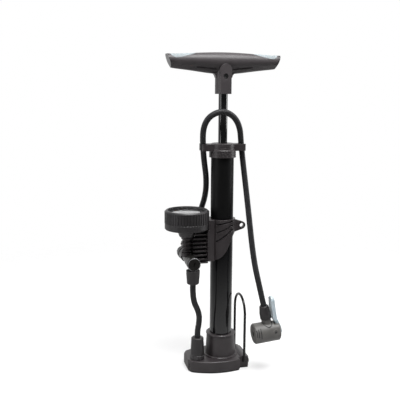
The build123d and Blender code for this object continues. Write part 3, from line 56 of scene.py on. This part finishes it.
def make_camera():
    camera = bpy.data.objects.new("camera", bpy.data.cameras.new("camera"))
    level = math.cos(LOOK_DOWN)
    ahead = Vector((math.sin(LOOK_TURN) * level, math.cos(LOOK_TURN) * level, -math.sin(LOOK_DOWN)))
    turn = ahead.to_track_quat("-Z", "Y").to_matrix() @ Matrix.Rotation(LOOK_ROLL, 3, "Z")
    camera.matrix_world = Matrix.Translation(CAMERA_AT) @ turn.to_4x4()
    camera.data.lens = LENS
    camera.data.sensor_width = 36.0
    bpy.context.scene.collection.objects.link(camera)
    bpy.context.scene.camera = camera


make_camera()


# ================= material tools =================
class Look:
    """A procedural material: one Principled shader and the nodes that feed it."""

    def __init__(self, name, **plain):
        self.material = bpy.data.materials.new(name)
        self.material.use_nodes = True
        self.tree = self.material.node_tree
        self.shader = self.tree.nodes["Principled BSDF"]
        self.place = self.add("ShaderNodeTexCoord").outputs["Object"]
        for socket, value in plain.items():
            self.shader.inputs[socket.replace("_", " ")].default_value = value

    def add(self, kind, **settings):
        node = self.tree.nodes.new(kind)
        for name, value in settings.items():
            setattr(node, name, value)
        return node

    def feed(self, node, **inputs):
        for name, value in inputs.items():
            socket = node.inputs[name.replace("_", " ")]
            if isinstance(value, bpy.types.NodeSocket):
                self.tree.links.new(value, socket)
            else:
                socket.default_value = value
        return node

    def stretched(self, x=1.0, y=1.0, z=1.0, source=None):
        node = self.add("ShaderNodeMapping")
        return self.feed(node, Vector=source or self.place, Scale=(x, y, z)).outputs["Vector"]

    def noise(self, scale, detail=3.0, vector=None):
        node = self.add("ShaderNodeTexNoise")
        return self.feed(node, Vector=vector or self.place, Scale=scale, Detail=detail).outputs["Fac"]

    def spread(self, value, low, high, start=0.0, end=1.0):
        node = self.add("ShaderNodeMapRange")
        self.feed(node, Value=value)
        for socket, number in zip(("From Min", "From Max", "To Min", "To Max"), (start, end, low, high)):
            node.inputs[socket].default_value = number
        return node.outputs["Result"]

    def maths(self, operation, first, second):
        node = self.add("ShaderNodeMath", operation=operation)
        for socket, value in zip(node.inputs, (first, second)):
            if isinstance(value, bpy.types.NodeSocket):
                self.tree.links.new(value, socket)
            else:
                socket.default_value = value
        return node.outputs["Value"]

    def mix(self, share, first, second):
        node = self.add("ShaderNodeMix", data_type="RGBA")
        for index, value in ((0, share), (6, first), (7, second)):
            if isinstance(value, bpy.types.NodeSocket):
                self.tree.links.new(value, node.inputs[index])
            elif index:
                node.inputs[index].default_value = (*value, 1.0)
            else:
                node.inputs[index].default_value = value
        return node.outputs[2]

    def edges(self, radius):
        """How far a point lies on a sharp edge, 0 to 1, and the rounded normal there."""
        rounded = self.feed(self.add("ShaderNodeBevel", samples=6), Radius=radius).outputs["Normal"]
        plain = self.add("ShaderNodeNewGeometry").outputs["Normal"]
        dot = self.add("ShaderNodeVectorMath", operation="DOT_PRODUCT")
        self.tree.links.new(rounded, dot.inputs[0])
        self.tree.links.new(plain, dot.inputs[1])
        return self.spread(dot.outputs["Value"], 1.0, 0.0, 0.80, 0.99), rounded

    def relief(self, height, distance, normal=None):
        node = self.feed(self.add("ShaderNodeBump"), Height=height, Distance=distance)
        if normal:
            self.tree.links.new(normal, node.inputs["Normal"])
        return node.outputs["Normal"]

    def finish(self, colour=None, roughness=None, normal=None):
        for name, value in (("Base Color", colour), ("Roughness", roughness), ("Normal", normal)):
            if value is not None:
                self.tree.links.new(value, self.shader.inputs[name])
        return self.material

    def show_through(self, share):
        """Mix in a transparent shader by the given share."""
        clear = self.add("ShaderNodeBsdfTransparent")
        both = self.add("ShaderNodeMixShader")
        self.tree.links.new(share, both.inputs[0])
        self.tree.links.new(self.shader.outputs[0], both.inputs[1])
        self.tree.links.new(clear.outputs[0], both.inputs[2])
        self.tree.links.new(both.outputs[0], self.tree.nodes["Material Output"].inputs["Surface"])


def moulded(name, dark, light, rough, grain=0.05 * MM, grain_scale=1500.0):
    """Injection-moulded plastic or rubber: eroded-tool grain, faint flow mottling and rubbed edges."""
    look = Look(name)
    mottle = look.noise(45.0, 4.0)
    fine = look.noise(grain_scale, 2.0)
    on_edge, rounded = look.edges(0.5 * MM)
    rubbed = look.maths("MULTIPLY", on_edge, look.spread(look.noise(160.0), 0.0, 1.0, 0.35, 0.7))
    colour = look.mix(look.spread(mottle, 0.0, 1.0, 0.35, 0.65), dark, light)
    colour = look.mix(rubbed, colour, tuple(2.2 * c + 0.01 for c in light))
    roughness = look.spread(mottle, rough[0], rough[1], 0.3, 0.7)
    return look.finish(colour, roughness, look.relief(fine, grain, rounded))


def metal(name, tone, rough, scratch=(1.0, 1.0, 1.0), scratch_scale=400.0):
    """Bare or plated metal with a fine turned or drawn grain."""
    look = Look(name, Metallic=1.0)
    drawn = look.noise(scratch_scale, 3.0, look.stretched(*scratch))
    smudge = look.noise(70.0, 4.0)
    _, rounded = look.edges(0.4 * MM)
    colour = look.mix(look.spread(smudge, 0.0, 1.0, 0.3, 0.7), tone, tuple(0.82 * c for c in tone))
    roughness = look.spread(drawn, rough[0], rough[1], 0.3, 0.7)
    return look.finish(colour, roughness, look.relief(drawn, 0.012 * MM, rounded))


def paint(name, tone, rough, **plain):
    """Sprayed enamel: a slight orange peel and a few dull spots."""
    look = Look(name, **plain)
    peel = look.noise(700.0, 2.0)
    dust = look.noise(90.0, 5.0)
    _, rounded = look.edges(0.3 * MM)
    colour = look.mix(look.spread(dust, 0.0, 1.0, 0.3, 0.8), tone, tuple(1.35 * c + 0.001 for c in tone))
    roughness = look.spread(dust, rough[0], rough[1], 0.35, 0.75)
    return look.finish(colour, roughness, look.relief(peel, 0.02 * MM, rounded))


# the dull label film, between two heights of the barrel
FILM_LOW = 0.243
FILM_HIGH = 0.337
# the clear coat's weight at the foot of the barrel and above, and the heights between which it fades
COAT_FOOT = 1.0
COAT_ABOVE = 0.08
COAT_FADE_LOW = 0.055
COAT_FADE_HIGH = 0.185


def barrel_paint():
    """Gloss black tube, glossiest at the foot, whose upper stretch is dulled by the label film."""
    look = Look("barrel_black", Specular_IOR_Level=0.12, Coat_Roughness=0.10)
    height = look.add("ShaderNodeSeparateXYZ")
    look.tree.links.new(look.place, height.inputs[0])
    above = look.maths("GREATER_THAN", height.outputs["Z"], FILM_LOW)
    below = look.maths("LESS_THAN", height.outputs["Z"], FILM_HIGH)
    film = look.maths("MULTIPLY", above, below)
    dust = look.noise(80.0, 5.0)
    drawn = look.noise(300.0, 3.0, look.stretched(1.0, 1.0, 0.04))
    colour = look.mix(film, (0.0045, 0.0045, 0.005), (0.0040, 0.0040, 0.0042))
    gloss = look.spread(dust, 0.10, 0.20, 0.3, 0.75)
    dull = look.spread(dust, 0.42, 0.52, 0.3, 0.75)
    choose = look.add("ShaderNodeMix", data_type="FLOAT")
    for index, socket in ((0, film), (2, gloss), (3, dull)):
        look.tree.links.new(socket, choose.inputs[index])
    bare = look.spread(film, 1.0, 0.0)
    coat = look.spread(height.outputs["Z"], COAT_FOOT, COAT_ABOVE, COAT_FADE_LOW, COAT_FADE_HIGH)
    look.tree.links.new(look.maths("MULTIPLY", bare, coat), look.shader.inputs["Coat Weight"])
    return look.finish(colour, choose.outputs[0], look.relief(drawn, 0.01 * MM))


WEAVE_PITCH = 2.2 * MM


def braided(name, length, diameter):
    """Rubber hose with its woven cover pressed through: two crossing sets of fine ridges, with painted
    shade darkening the grooves between them.
    """
    look = Look(name, Specular_IOR_Level=0.35)
    along = look.add("ShaderNodeTexCoord").outputs["UV"]
    ridges = []
    for lean in (-1.0, 1.0):
        node = look.add("ShaderNodeTexWave", wave_type="BANDS", bands_direction="DIAGONAL")
        around = lean * math.pi * diameter / WEAVE_PITCH
        cells = look.stretched(length / WEAVE_PITCH, around, 1.0, along)
        look.feed(node, Vector=cells, Scale=0.5, Distortion=0.0)
        ridges.append(node.outputs["Fac"])
    weave = look.maths("MAXIMUM", *ridges)
    dust = look.noise(120.0, 4.0)
    # painted shade: the weave's grooves are darker than its ridges
    weave_shading = look.spread(weave, 0.0, 1.0, 0.2, 1.0)
    colour = look.mix(weave_shading, (0.006, 0.006, 0.007), (0.014, 0.014, 0.016))
    roughness = look.spread(dust, 0.42, 0.62, 0.3, 0.7)
    return look.finish(colour, roughness, look.relief(weave, 0.12 * MM))


def translucent(name, tone, rough, through, **plain):
    """Milky tinted plastic that passes a little light."""
    look = Look(name, Transmission_Weight=through, IOR=1.46, Subsurface_Weight=0.25, **plain)
    look.shader.inputs["Subsurface Radius"].default_value = (0.004, 0.005, 0.006)
    cloud = look.noise(60.0, 3.0)
    fine = look.noise(1200.0, 2.0)
    _, rounded = look.edges(0.6 * MM)
    colour = look.mix(look.spread(cloud, 0.0, 1.0, 0.35, 0.7), tone, tuple(0.88 * c for c in tone))
    roughness = look.spread(cloud, rough[0], rough[1], 0.3, 0.7)
    return look.finish(colour, roughness, look.relief(fine, 0.02 * MM, rounded))


def clear_lens():
    """Clear moulded lens. Lamps reach through it, so the dial below is lit."""
    look = Look("lens_clear", Transmission_Weight=1.0, IOR=1.45, Base_Color=(0.97, 0.985, 0.99, 1.0))
    smear = look.noise(90.0, 4.0)
    look.finish(roughness=look.spread(smear, 0.0, 0.05, 0.4, 0.8))
    look.show_through(look.add("ShaderNodeLightPath").outputs["Is Shadow Ray"])
    return look.material


# moulded: darker tone, lighter tone, roughness from and to
CHARCOAL = moulded("charcoal_plastic", (0.024, 0.0198, 0.0212), (0.032, 0.0268, 0.0285), (0.32, 0.44))
# the handle's plastic is lighter than the charcoal: painted light, for how brightly the top lamp lights
# the handle
HANDLE = moulded("handle_satin_painted_light", (0.042, 0.0362, 0.0386), (0.054, 0.0470, 0.0496), (0.44, 0.54))
CHARCOAL_FINE = moulded("charcoal_satin", (0.022, 0.020, 0.021), (0.030, 0.027, 0.029), (0.30, 0.42))
GREY = moulded("chuck_grey", (0.090, 0.087, 0.082), (0.118, 0.114, 0.108), (0.40, 0.55), grain=0.08 * MM)
RUBBER = moulded("black_rubber", (0.010, 0.010, 0.011), (0.016, 0.016, 0.017), (0.55, 0.75),
                 grain=0.07 * MM, grain_scale=1100.0)
BOOT = moulded("boot_rubber", (0.013, 0.0115, 0.0125), (0.018, 0.0160, 0.0172), (0.40, 0.55))
GUARD = moulded("guard_rubber", (0.015, 0.0135, 0.0145), (0.021, 0.0190, 0.0205), (0.40, 0.55),
                grain=0.07 * MM)
BLACK_PLASTIC = moulded("black_plastic", (0.010, 0.010, 0.011), (0.016, 0.016, 0.017), (0.35, 0.5))
WHITE_PLASTIC = moulded("white_nylon", (0.62, 0.61, 0.57), (0.70, 0.69, 0.65), (0.4, 0.5))
PALE = translucent("pale_blue_satin", (0.30, 0.335, 0.35), (0.45, 0.58), through=0.0,
                   Specular_IOR_Level=0.15)
LEVER = translucent("pale_blue_clear", (0.58, 0.67, 0.72), (0.25, 0.36), through=0.18)
# painted and metal: tone, roughness from and to
ROD_BLACK = paint("rod_black", (0.006, 0.006, 0.0065), (0.10, 0.18), Coat_Weight=0.4)
WIRE_BLACK = paint("wire_black", (0.006, 0.0055, 0.0055), (0.14, 0.24), Specular_IOR_Level=0.35)
ORANGE = paint("needle_orange", (0.83, 0.20, 0.03), (0.40, 0.52))
DIAL_BLACK = paint("dial_black", (0.006, 0.006, 0.0065), (0.38, 0.50))
DIAL_WHITE = paint("dial_white", (0.80, 0.80, 0.78), (0.45, 0.58))
BARREL = barrel_paint()
LENS_CLEAR = clear_lens()
# dark steel for the handle screw, darkened to stand for the shade in its hole: painted shade
DARK_STEEL = metal("screw_hole_shade_steel", (0.10, 0.10, 0.10), (0.30, 0.45))
PIN_GREY = metal("pin_grey", (0.07, 0.07, 0.07), (0.35, 0.50))
STEEL = metal("steel", (0.56, 0.56, 0.57), (0.24, 0.36), (1.0, 1.0, 8.0))
FITTING = paint("fitting_black", (0.010, 0.0095, 0.009), (0.14, 0.22), Specular_IOR_Level=0.12)
RIM = metal("bright_rim", (0.26, 0.26, 0.27), (0.34, 0.44), scratch_scale=250.0)
BRASS = metal("brass", (0.72, 0.52, 0.22), (0.25, 0.36))
ALLOY = metal("alloy", (0.70, 0.70, 0.71), (0.28, 0.40), (1.0, 1.0, 10.0))

NODE_LOOKS = {
    "charcoal": (CHARCOAL, "base_casting barrel_cap bracket_collar gauge_arm"),
    "handle": (HANDLE, "handle_body"),
    "satin": (CHARCOAL_FINE, "gauge_housing end_cap_left end_cap_right outlet_nut"),
    "grey": (GREY, "chuck_body chuck_cap"),
    "rubber": (RUBBER, "sole_pad barrel_seal rod_wiper piston_seal lens_gasket chuck_seal"),
    "boots": (BOOT, "upper_boot lower_boot rear_boot chuck_boot"),
    "guard": (GUARD, "gauge_guard"),
    "black": (BLACK_PLASTIC, "gauge_bezel piston_head"),
    "white": (WHITE_PLASTIC, "rod_bush chuck_plunger"),
    "pads": (PALE, "grip_pad_left grip_pad_right"),
    "lever": (LEVER, "chuck_lever"),
    "rod": (ROD_BLACK, "piston_rod"),
    "wire": (WIRE_BLACK, "foot_bail"),
    "needle": (ORANGE, "gauge_needle"),
    "dial": (DIAL_BLACK, "gauge_dial"),
    "barrel": (BARREL, "barrel"),
    "lens": (LENS_CLEAR, "gauge_lens"),
    "dark_steel": (DARK_STEEL, "handle_screw"),
    "pin": (PIN_GREY, "chuck_pin"),
    "steel": (STEEL, "piston_screw bracket_screws valve_ball valve_spring gauge_arbor"),
    "fittings": (FITTING, "tee_body front_banjo front_bolt rear_banjo rear_bolt banjo_washers"),
    "brass": (BRASS, "valve_seat outlet_barb gauge_sector bourdon_tube movement_plate"),
    "alloy": (ALLOY, "rod_plug"),
}
for look_material, node_names in NODE_LOOKS.values():
    for node_name in node_names.split():
        for node_slot in NODES[node_name].material_slots:
            node_slot.material = look_material


# ================= hoses =================
HOSE_DIAMETER = 9.0 * MM
REAR_CENTRE = Vector((-53.0, 35.0, 179.5)) * MM
REAR_AIM = Vector((-27.5, 41.5, 239.0)) * MM
REAR_END = REAR_CENTRE + (REAR_AIM - REAR_CENTRE).normalized() * 30.0 * MM
MAIN_ROUTE = [REAR_END] + [Vector(p) * MM for p in (
    (-25.0, 41.5, 240.0),
    (-19.0, 15.5, 288.0),
    (-31.2, 0.5, 346.0),
    (-34.9, -17.3, 392.5),
    (-7.0, -23.8, 409.2),
    (21.0, -17.3, 391.5),
    (31.0, 2.5, 347.0),
    (37.2, -12.0, 270.0),
    (42.0, -32.0, 182.0),
    (47.8, -46.0, 142.0),
    (55.6, -46.0, 110.0),
)]
GAUGE_ROUTE = [Vector(p) * MM for p in (
    (-53.0, -31.0, 148.0),
    (-54.0, -31.0, 124.0),
    (-41.0, -23.5, 98.0),
    (-39.3, -15.0, 78.0),
    (-41.0, -12.0, 65.0),
    (-41.0, -12.0, 54.0),
)]


def hose(name, route, material):
    curve = bpy.data.curves.new(name, "CURVE")
    curve.dimensions = "3D"
    curve.bevel_depth = HOSE_DIAMETER / 2
    curve.bevel_resolution = 6
    curve.resolution_u = 14
    spline = curve.splines.new("NURBS")
    spline.points.add(len(route) - 1)
    for point, at in zip(spline.points, route):
        point.co = (*at, 1.0)
    spline.order_u = 3
    spline.use_endpoint_u = True
    curve.materials.append(material)
    piece = bpy.data.objects.new(name, curve)
    bpy.context.scene.collection.objects.link(piece)
    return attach(piece, "base")


main_hose = hose("long_hose", MAIN_ROUTE, braided("long_hose_rubber", 0.556, HOSE_DIAMETER))
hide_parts("main_hose")
gauge_hose = hose("short_hose", GAUGE_ROUTE, braided("short_hose_rubber", 0.098, HOSE_DIAMETER))
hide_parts("gauge_hose")


# ================= mesh tools =================
def new_piece(name, mesh_data, material, body):
    mesh_data.materials.append(material)
    piece = bpy.data.objects.new(name, mesh_data)
    bpy.context.scene.collection.objects.link(piece)
    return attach(piece, body)


def mesh_of(name, points, faces, smooth=True):
    made = bpy.data.meshes.new(name)
    made.from_pydata([tuple(p) for p in points], [], faces)
    made.update()
    for face in made.polygons:
        face.use_smooth = smooth
    return made


def turned(name, profile, centre, axis, side, material, body, steps=72):
    """A closed ring: profile points (radius, height) turned about the axis through centre."""
    along = Vector(axis).normalized()
    across = Vector(side).normalized()
    third = along.cross(across)
    points, faces = [], []
    count = len(profile)
    for step in range(steps):
        angle = 2 * math.pi * step / steps
        outward = across * math.cos(angle) + third * math.sin(angle)
        for radius, height in profile:
            points.append(Vector(centre) + outward * radius + along * height)
        for index in range(count):
            after = (index + 1) % count
            here, there = step * count, (step + 1) % steps * count
            faces.append((here + index, there + index, there + after, here + after))
    return new_piece(name, mesh_of(name, points, faces), material, body)


def bead(radius, height, thickness, points=10):
    """The round section of a moulded bead, as (radius, height) points."""
    turns = [2 * math.pi * i / points for i in range(points)]
    return [(radius + thickness * math.cos(a), height + thickness * math.sin(a)) for a in turns]


# ================= dial =================
GAUGE_LOW, GAUGE_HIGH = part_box("gauge_dial")
GAUGE_AT = Vector(((GAUGE_LOW.x + GAUGE_HIGH.x) / 2, (GAUGE_LOW.y + GAUGE_HIGH.y) / 2, GAUGE_HIGH.z))
PRINT_LIFT = 0.04 * MM
WIDE_FONT = 1.3
# angles in degrees: both rings start at RING_START, and the first number stands at SCALE_START
RING_START = 212
SCALE_START = 202.0
SCALE_STEP = -34.8
PSI_NUMBERS = 8
PSI_STEP = 20
PSI_TICK_END = 19.9 * MM
PSI_PER_BAR = 14.5038
BAR_FIRST = 2
BAR_LAST = 11
BAR_TICK_END = 14.3 * MM


class Print:
    """Flat printed marks on the dial, collected into one mesh."""

    def __init__(self):
        self.mesh = bmesh.new()

    def ring(self, radius, width, start, end):
        count = max(8, int(abs(end - start) / 4))
        rows = []
        for i in range(count + 1):
            a = math.radians(start + (end - start) * i / count)
            ray = Vector((math.cos(a), math.sin(a), 0))
            edges = (radius - width / 2, radius + width / 2)
            rows.append([self.mesh.verts.new(GAUGE_AT + ray * edge) for edge in edges])
        for before, after in zip(rows, rows[1:]):
            self.mesh.faces.new((before[0], before[1], after[1], after[0]))

    def tick(self, angle, inner, outer, width):
        a = math.radians(angle)
        ray = Vector((math.cos(a), math.sin(a), 0))
        side = Vector((-math.sin(a), math.cos(a), 0)) * width / 2
        corners = [ray * inner - side, ray * outer - side, ray * outer + side, ray * inner + side]
        self.mesh.faces.new([self.mesh.verts.new(GAUGE_AT + c) for c in corners])

    def text(self, words, angle, radius, size):
        curve = bpy.data.curves.new("words", "FONT")
        curve.body = words
        curve.size = size
        curve.offset = size * 0.02
        curve.align_x, curve.align_y = "CENTER", "CENTER"
        curve.resolution_u = 3
        holder = bpy.data.objects.new("words", curve)
        bpy.context.scene.collection.objects.link(holder)
        bpy.context.view_layer.update()
        filled = holder.evaluated_get(bpy.context.evaluated_depsgraph_get())
        flat = bpy.data.meshes.new_from_object(filled)
        a = math.radians(angle)
        at = GAUGE_AT + Vector((math.cos(a), math.sin(a), 0)) * radius
        turn = Matrix.Rotation(a - math.pi / 2, 4, "Z")
        flat.transform(Matrix.Translation(at) @ turn @ Matrix.Diagonal((WIDE_FONT, 1, 1, 1)))
        self.mesh.from_mesh(flat)
        bpy.data.objects.remove(holder)
        bpy.data.curves.remove(curve)
        bpy.data.meshes.remove(flat)

    def piece(self, name, material):
        bmesh.ops.translate(self.mesh, verts=self.mesh.verts, vec=(0, 0, PRINT_LIFT))
        made = bpy.data.meshes.new(name)
        self.mesh.to_mesh(made)
        self.mesh.free()
        return new_piece(name, made, material, "base")


def psi_scale(marks):
    """The outer scale: a ring, eight numbers and ten ticks between each two."""
    marks.ring(17.1 * MM, 0.45 * MM, RING_START, -110)
    for number in range(PSI_NUMBERS):
        angle = SCALE_START + SCALE_STEP * number
        marks.text(str(PSI_STEP * (number + 1)), angle, 22.2 * MM, 4.4 * MM)
        marks.tick(angle, 17.3 * MM, PSI_TICK_END, 0.60 * MM)
        if number == PSI_NUMBERS - 1:
            break
        for tenth in range(1, 10):
            inner = 17.7 if tenth == 5 else 18.5
            marks.tick(angle + SCALE_STEP * tenth / 10, inner * MM, PSI_TICK_END, 0.28 * MM)


def bar_scale(marks):
    """The inner scale, whose numbers stand where its pressures fall on the outer one."""
    marks.ring(14.4 * MM, 0.40 * MM, RING_START, -114)
    for bar in range(BAR_FIRST, BAR_LAST + 1):
        angle = SCALE_START + SCALE_STEP * (bar * PSI_PER_BAR / PSI_STEP - 1)
        marks.text(str(bar), angle, 10.2 * MM, 2.7 * MM)
        marks.tick(angle, 12.2 * MM, BAR_TICK_END, 0.4 * MM)
        if bar == BAR_LAST:
            break
        for tenth in range(1, 10):
            turn = SCALE_STEP * PSI_PER_BAR / PSI_STEP * tenth / 10
            marks.tick(angle + turn, 13.2 * MM, BAR_TICK_END, 0.2 * MM)


def print_dial():
    marks = Print()
    psi_scale(marks)
    bar_scale(marks)
    marks.text("psi", -62, 19.6 * MM, 2.4 * MM)
    marks.text("bar", -60, 12.2 * MM, 1.8 * MM)
    return marks.piece("dial_marks", DIAL_WHITE)


print_dial()


# ================= chuck details =================
BODY_RISE = math.radians(5.0)
NECK_SPAN = 43.5 * MM
BODY_RUN = Vector((math.cos(BODY_RISE), 0, math.sin(BODY_RISE)))
BODY_UP = Vector((-math.sin(BODY_RISE), 0, math.cos(BODY_RISE)))
NECK_RUN = Vector((6.2, 0, -32.0)).normalized()
CHUCK_AT = MAIN_ROUTE[-1] + NECK_RUN * NECK_SPAN
FRONT = Vector((0, -1, 0))
# each painted-shade strip for a recessed grip slot: mm along the body from its middle, then the degrees
# where it starts and ends
GRIP_SLOT_SHADES = ((-22.4, -2, 38), (-19.3, -6, 42), (-15.6, -14, 46))
STRIP_HALF = 0.6 * MM
STRIP_FOOT_R = 15.5 * MM
STRIP_TOP_R = 16.1 * MM
STRIP_STEPS = 10
CREASE_BODY_R = 15.75 * MM
CREASE_NECK_R = 7.5 * MM
CREASE_SADDLE_R = 11.3 * MM
CREASE_POINTS = 48


def grip_bar(name, along, low, high, facing):
    """One flat dark strip wrapped round the body from angle low to high, on the side it is facing:
    painted shade for a recessed grip slot.
    """
    points, faces = [], []
    corners = (
        (-STRIP_HALF, STRIP_FOOT_R),
        (-STRIP_HALF, STRIP_TOP_R),
        (STRIP_HALF, STRIP_TOP_R),
        (STRIP_HALF, STRIP_FOOT_R),
    )
    for i in range(STRIP_STEPS + 1):
        angle = math.radians(low + (high - low) * i / STRIP_STEPS)
        out = BODY_UP * math.sin(angle) + FRONT * facing * math.cos(angle)
        for shift, radius in corners:
            points.append(CHUCK_AT + BODY_RUN * (along * MM + shift) + out * radius)
    for i in range(STRIP_STEPS):
        here, there = i * 4, (i + 1) * 4
        for k in range(4):
            after = (k + 1) % 4
            faces.append((here + k, here + after, there + after, there + k))
    faces += [(3, 2, 1, 0), tuple(STRIP_STEPS * 4 + k for k in range(4))]
    return new_piece(name, mesh_of(name, points, faces, False), BLACK_PLASTIC, "base")


def chuck_bars():
    """Three dark strips near the mouth end, on both sides of the body: painted shade for the recessed
    grip slots.
    """
    made = []
    for side, facing in (("front", 1), ("back", -1)):
        for number, (along, low, high) in enumerate(GRIP_SLOT_SHADES, 1):
            made.append(grip_bar(f"chuck_slot_shade_{side}_{number}", along, low, high, facing))
    return made


def neck_seam():
    """Dark line round the neck's saddle, which reaches down the front of the body like a U: painted
    shade in the crease where the neck meets the body.
    """
    side = FRONT.cross(NECK_RUN)
    curve = bpy.data.curves.new("chuck_neck_crease_shade", "CURVE")
    curve.dimensions = "3D"
    curve.bevel_depth = 0.6 * MM
    curve.bevel_resolution = 3
    spline = curve.splines.new("NURBS")
    spline.points.add(CREASE_POINTS - 1)
    for i, point in enumerate(spline.points):
        angle = 2 * math.pi * i / CREASE_POINTS
        reach = CREASE_SADDLE_R if math.sin(angle) > 0 else CREASE_NECK_R
        foot = side * math.cos(angle) * CREASE_NECK_R + FRONT * math.sin(angle) * reach
        rise = math.sqrt(CREASE_BODY_R**2 - foot.y**2)
        lift = (rise - foot.dot(BODY_UP)) / (-NECK_RUN).dot(BODY_UP)
        point.co = (*(CHUCK_AT + foot - NECK_RUN * lift), 1.0)
    spline.use_cyclic_u = True
    spline.order_u = 3
    curve.materials.append(BLACK_PLASTIC)
    piece = bpy.data.objects.new("chuck_neck_crease_shade", curve)
    bpy.context.scene.collection.objects.link(piece)
    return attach(piece, "base")


# painted shade on the chuck: the dark slot strips and the dark line round the neck
chuck_painted_shades = chuck_bars() + [neck_seam()]


# ================= small moulded details =================
UP = (0, 0, 1)
RIGHT = (1, 0, 0)
SOCKET_BEAD_R = 21.9 * MM
SOCKET_BEAD_Z = 54.4 * MM
SOCKET_BEAD_THICK = 1.5 * MM
RIM_INSET = 0.35 * MM
RIM_SETBACK = 0.9 * MM
RIM_THICK = 0.7 * MM


def socket_bead():
    """The rounded lip at the top of the base's socket."""
    section = bead(SOCKET_BEAD_R, SOCKET_BEAD_Z, SOCKET_BEAD_THICK)
    turned("socket_bead", section, (0, 0, 0), UP, RIGHT, CHARCOAL, "base")


def bolt_rim():
    """The polished edge round the front bolt's head."""
    low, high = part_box("front_bolt")
    face = (low + high) / 2
    face.y = low.y
    section = bead((high.x - low.x) / 2 - RIM_INSET, -RIM_SETBACK, RIM_THICK)
    turned("bolt_rim", section, face, FRONT, RIGHT, RIM, "base")


socket_bead()
bolt_rim()


# ================= studio =================
FLOOR_GLOW = 0.50
FLOOR_HALF = 6.0
FLOOR_FADE_NEAR = 0.30
FLOOR_FADE_FAR = 0.90
SKY_FRONT = 0.08
SKY_BACK = 1.0
# each soft box: name, place, width and height, watts
SOFT_BOXES = (
    ("left_box", (-1.3, -0.35, 0.75), (0.35, 1.5), 8.0),
    ("right_box", (1.35, -0.10, 0.75), (0.35, 1.5), 11.0),
    ("top_box", (0.1, -0.55, 1.6), (1.0, 0.7), 34.0),
)
LIT_POINT = Vector((0, 0, 0.25))


def floor_paper():
    """White paper that glows for the camera alone and fades out with distance."""
    look = Look("floor_paper", Specular_IOR_Level=0.15)
    fibre = look.noise(30.0, 3.0)
    look.finish(look.mix(fibre, (0.44, 0.44, 0.44), (0.46, 0.46, 0.46)), look.spread(fibre, 0.7, 0.8))
    look.shader.inputs["Emission Color"].default_value = (1.0, 1.0, 1.0, 1.0)
    glow = look.spread(look.add("ShaderNodeLightPath").outputs["Is Camera Ray"], 0.0, FLOOR_GLOW)
    look.tree.links.new(glow, look.shader.inputs["Emission Strength"])
    distance = look.add("ShaderNodeVectorMath", operation="LENGTH")
    look.tree.links.new(look.place, distance.inputs[0])
    fade = look.spread(distance.outputs["Value"], 0.0, 1.0, FLOOR_FADE_NEAR, FLOOR_FADE_FAR)
    look.show_through(fade)
    return look.material


def make_floor():
    half = FLOOR_HALF
    mesh = bpy.data.meshes.new("floor")
    corners = [(-half, -half, 0), (half, -half, 0), (half, half, 0), (-half, half, 0)]
    mesh.from_pydata(corners, [], [(0, 1, 2, 3)])
    mesh.materials.append(floor_paper())
    floor = bpy.data.objects.new("floor", mesh)
    bpy.context.scene.collection.objects.link(floor)


def make_sky():
    """White behind the object for the camera, and a light from the back that falls off to the front."""
    world = bpy.data.worlds.new("studio")
    world.use_nodes = True
    bpy.context.scene.world = world
    nodes, links = world.node_tree.nodes, world.node_tree.links
    direction = nodes.new("ShaderNodeTexCoord")
    split = nodes.new("ShaderNodeSeparateXYZ")
    links.new(direction.outputs["Generated"], split.inputs[0])
    falloff = nodes.new("ShaderNodeMapRange")
    reach = {"From Min": -0.1, "From Max": 0.80, "To Min": SKY_FRONT, "To Max": SKY_BACK}
    for name, value in reach.items():
        falloff.inputs[name].default_value = value
    links.new(split.outputs["Y"], falloff.inputs["Value"])
    seen = nodes.new("ShaderNodeLightPath")
    pick = nodes.new("ShaderNodeMix")
    links.new(seen.outputs["Is Camera Ray"], pick.inputs[0])
    links.new(falloff.outputs["Result"], pick.inputs[2])
    pick.inputs[3].default_value = 1.0
    background = nodes["Background"]
    background.inputs["Color"].default_value = (1.0, 1.0, 1.0, 1.0)
    links.new(pick.outputs[0], background.inputs["Strength"])


def make_soft_boxes():
    for name, at, (width, height), power in SOFT_BOXES:
        lamp = bpy.data.lights.new(name, "AREA")
        lamp.shape = "RECTANGLE"
        lamp.size = width
        lamp.size_y = height
        lamp.energy = power
        holder = bpy.data.objects.new(name, lamp)
        holder.location = at
        holder.rotation_euler = (LIT_POINT - Vector(at)).to_track_quat("-Z", "Y").to_euler()
        bpy.context.scene.collection.objects.link(holder)


bpy.context.scene.view_settings.view_transform = "Standard"
make_floor()
make_sky()
make_soft_boxes()
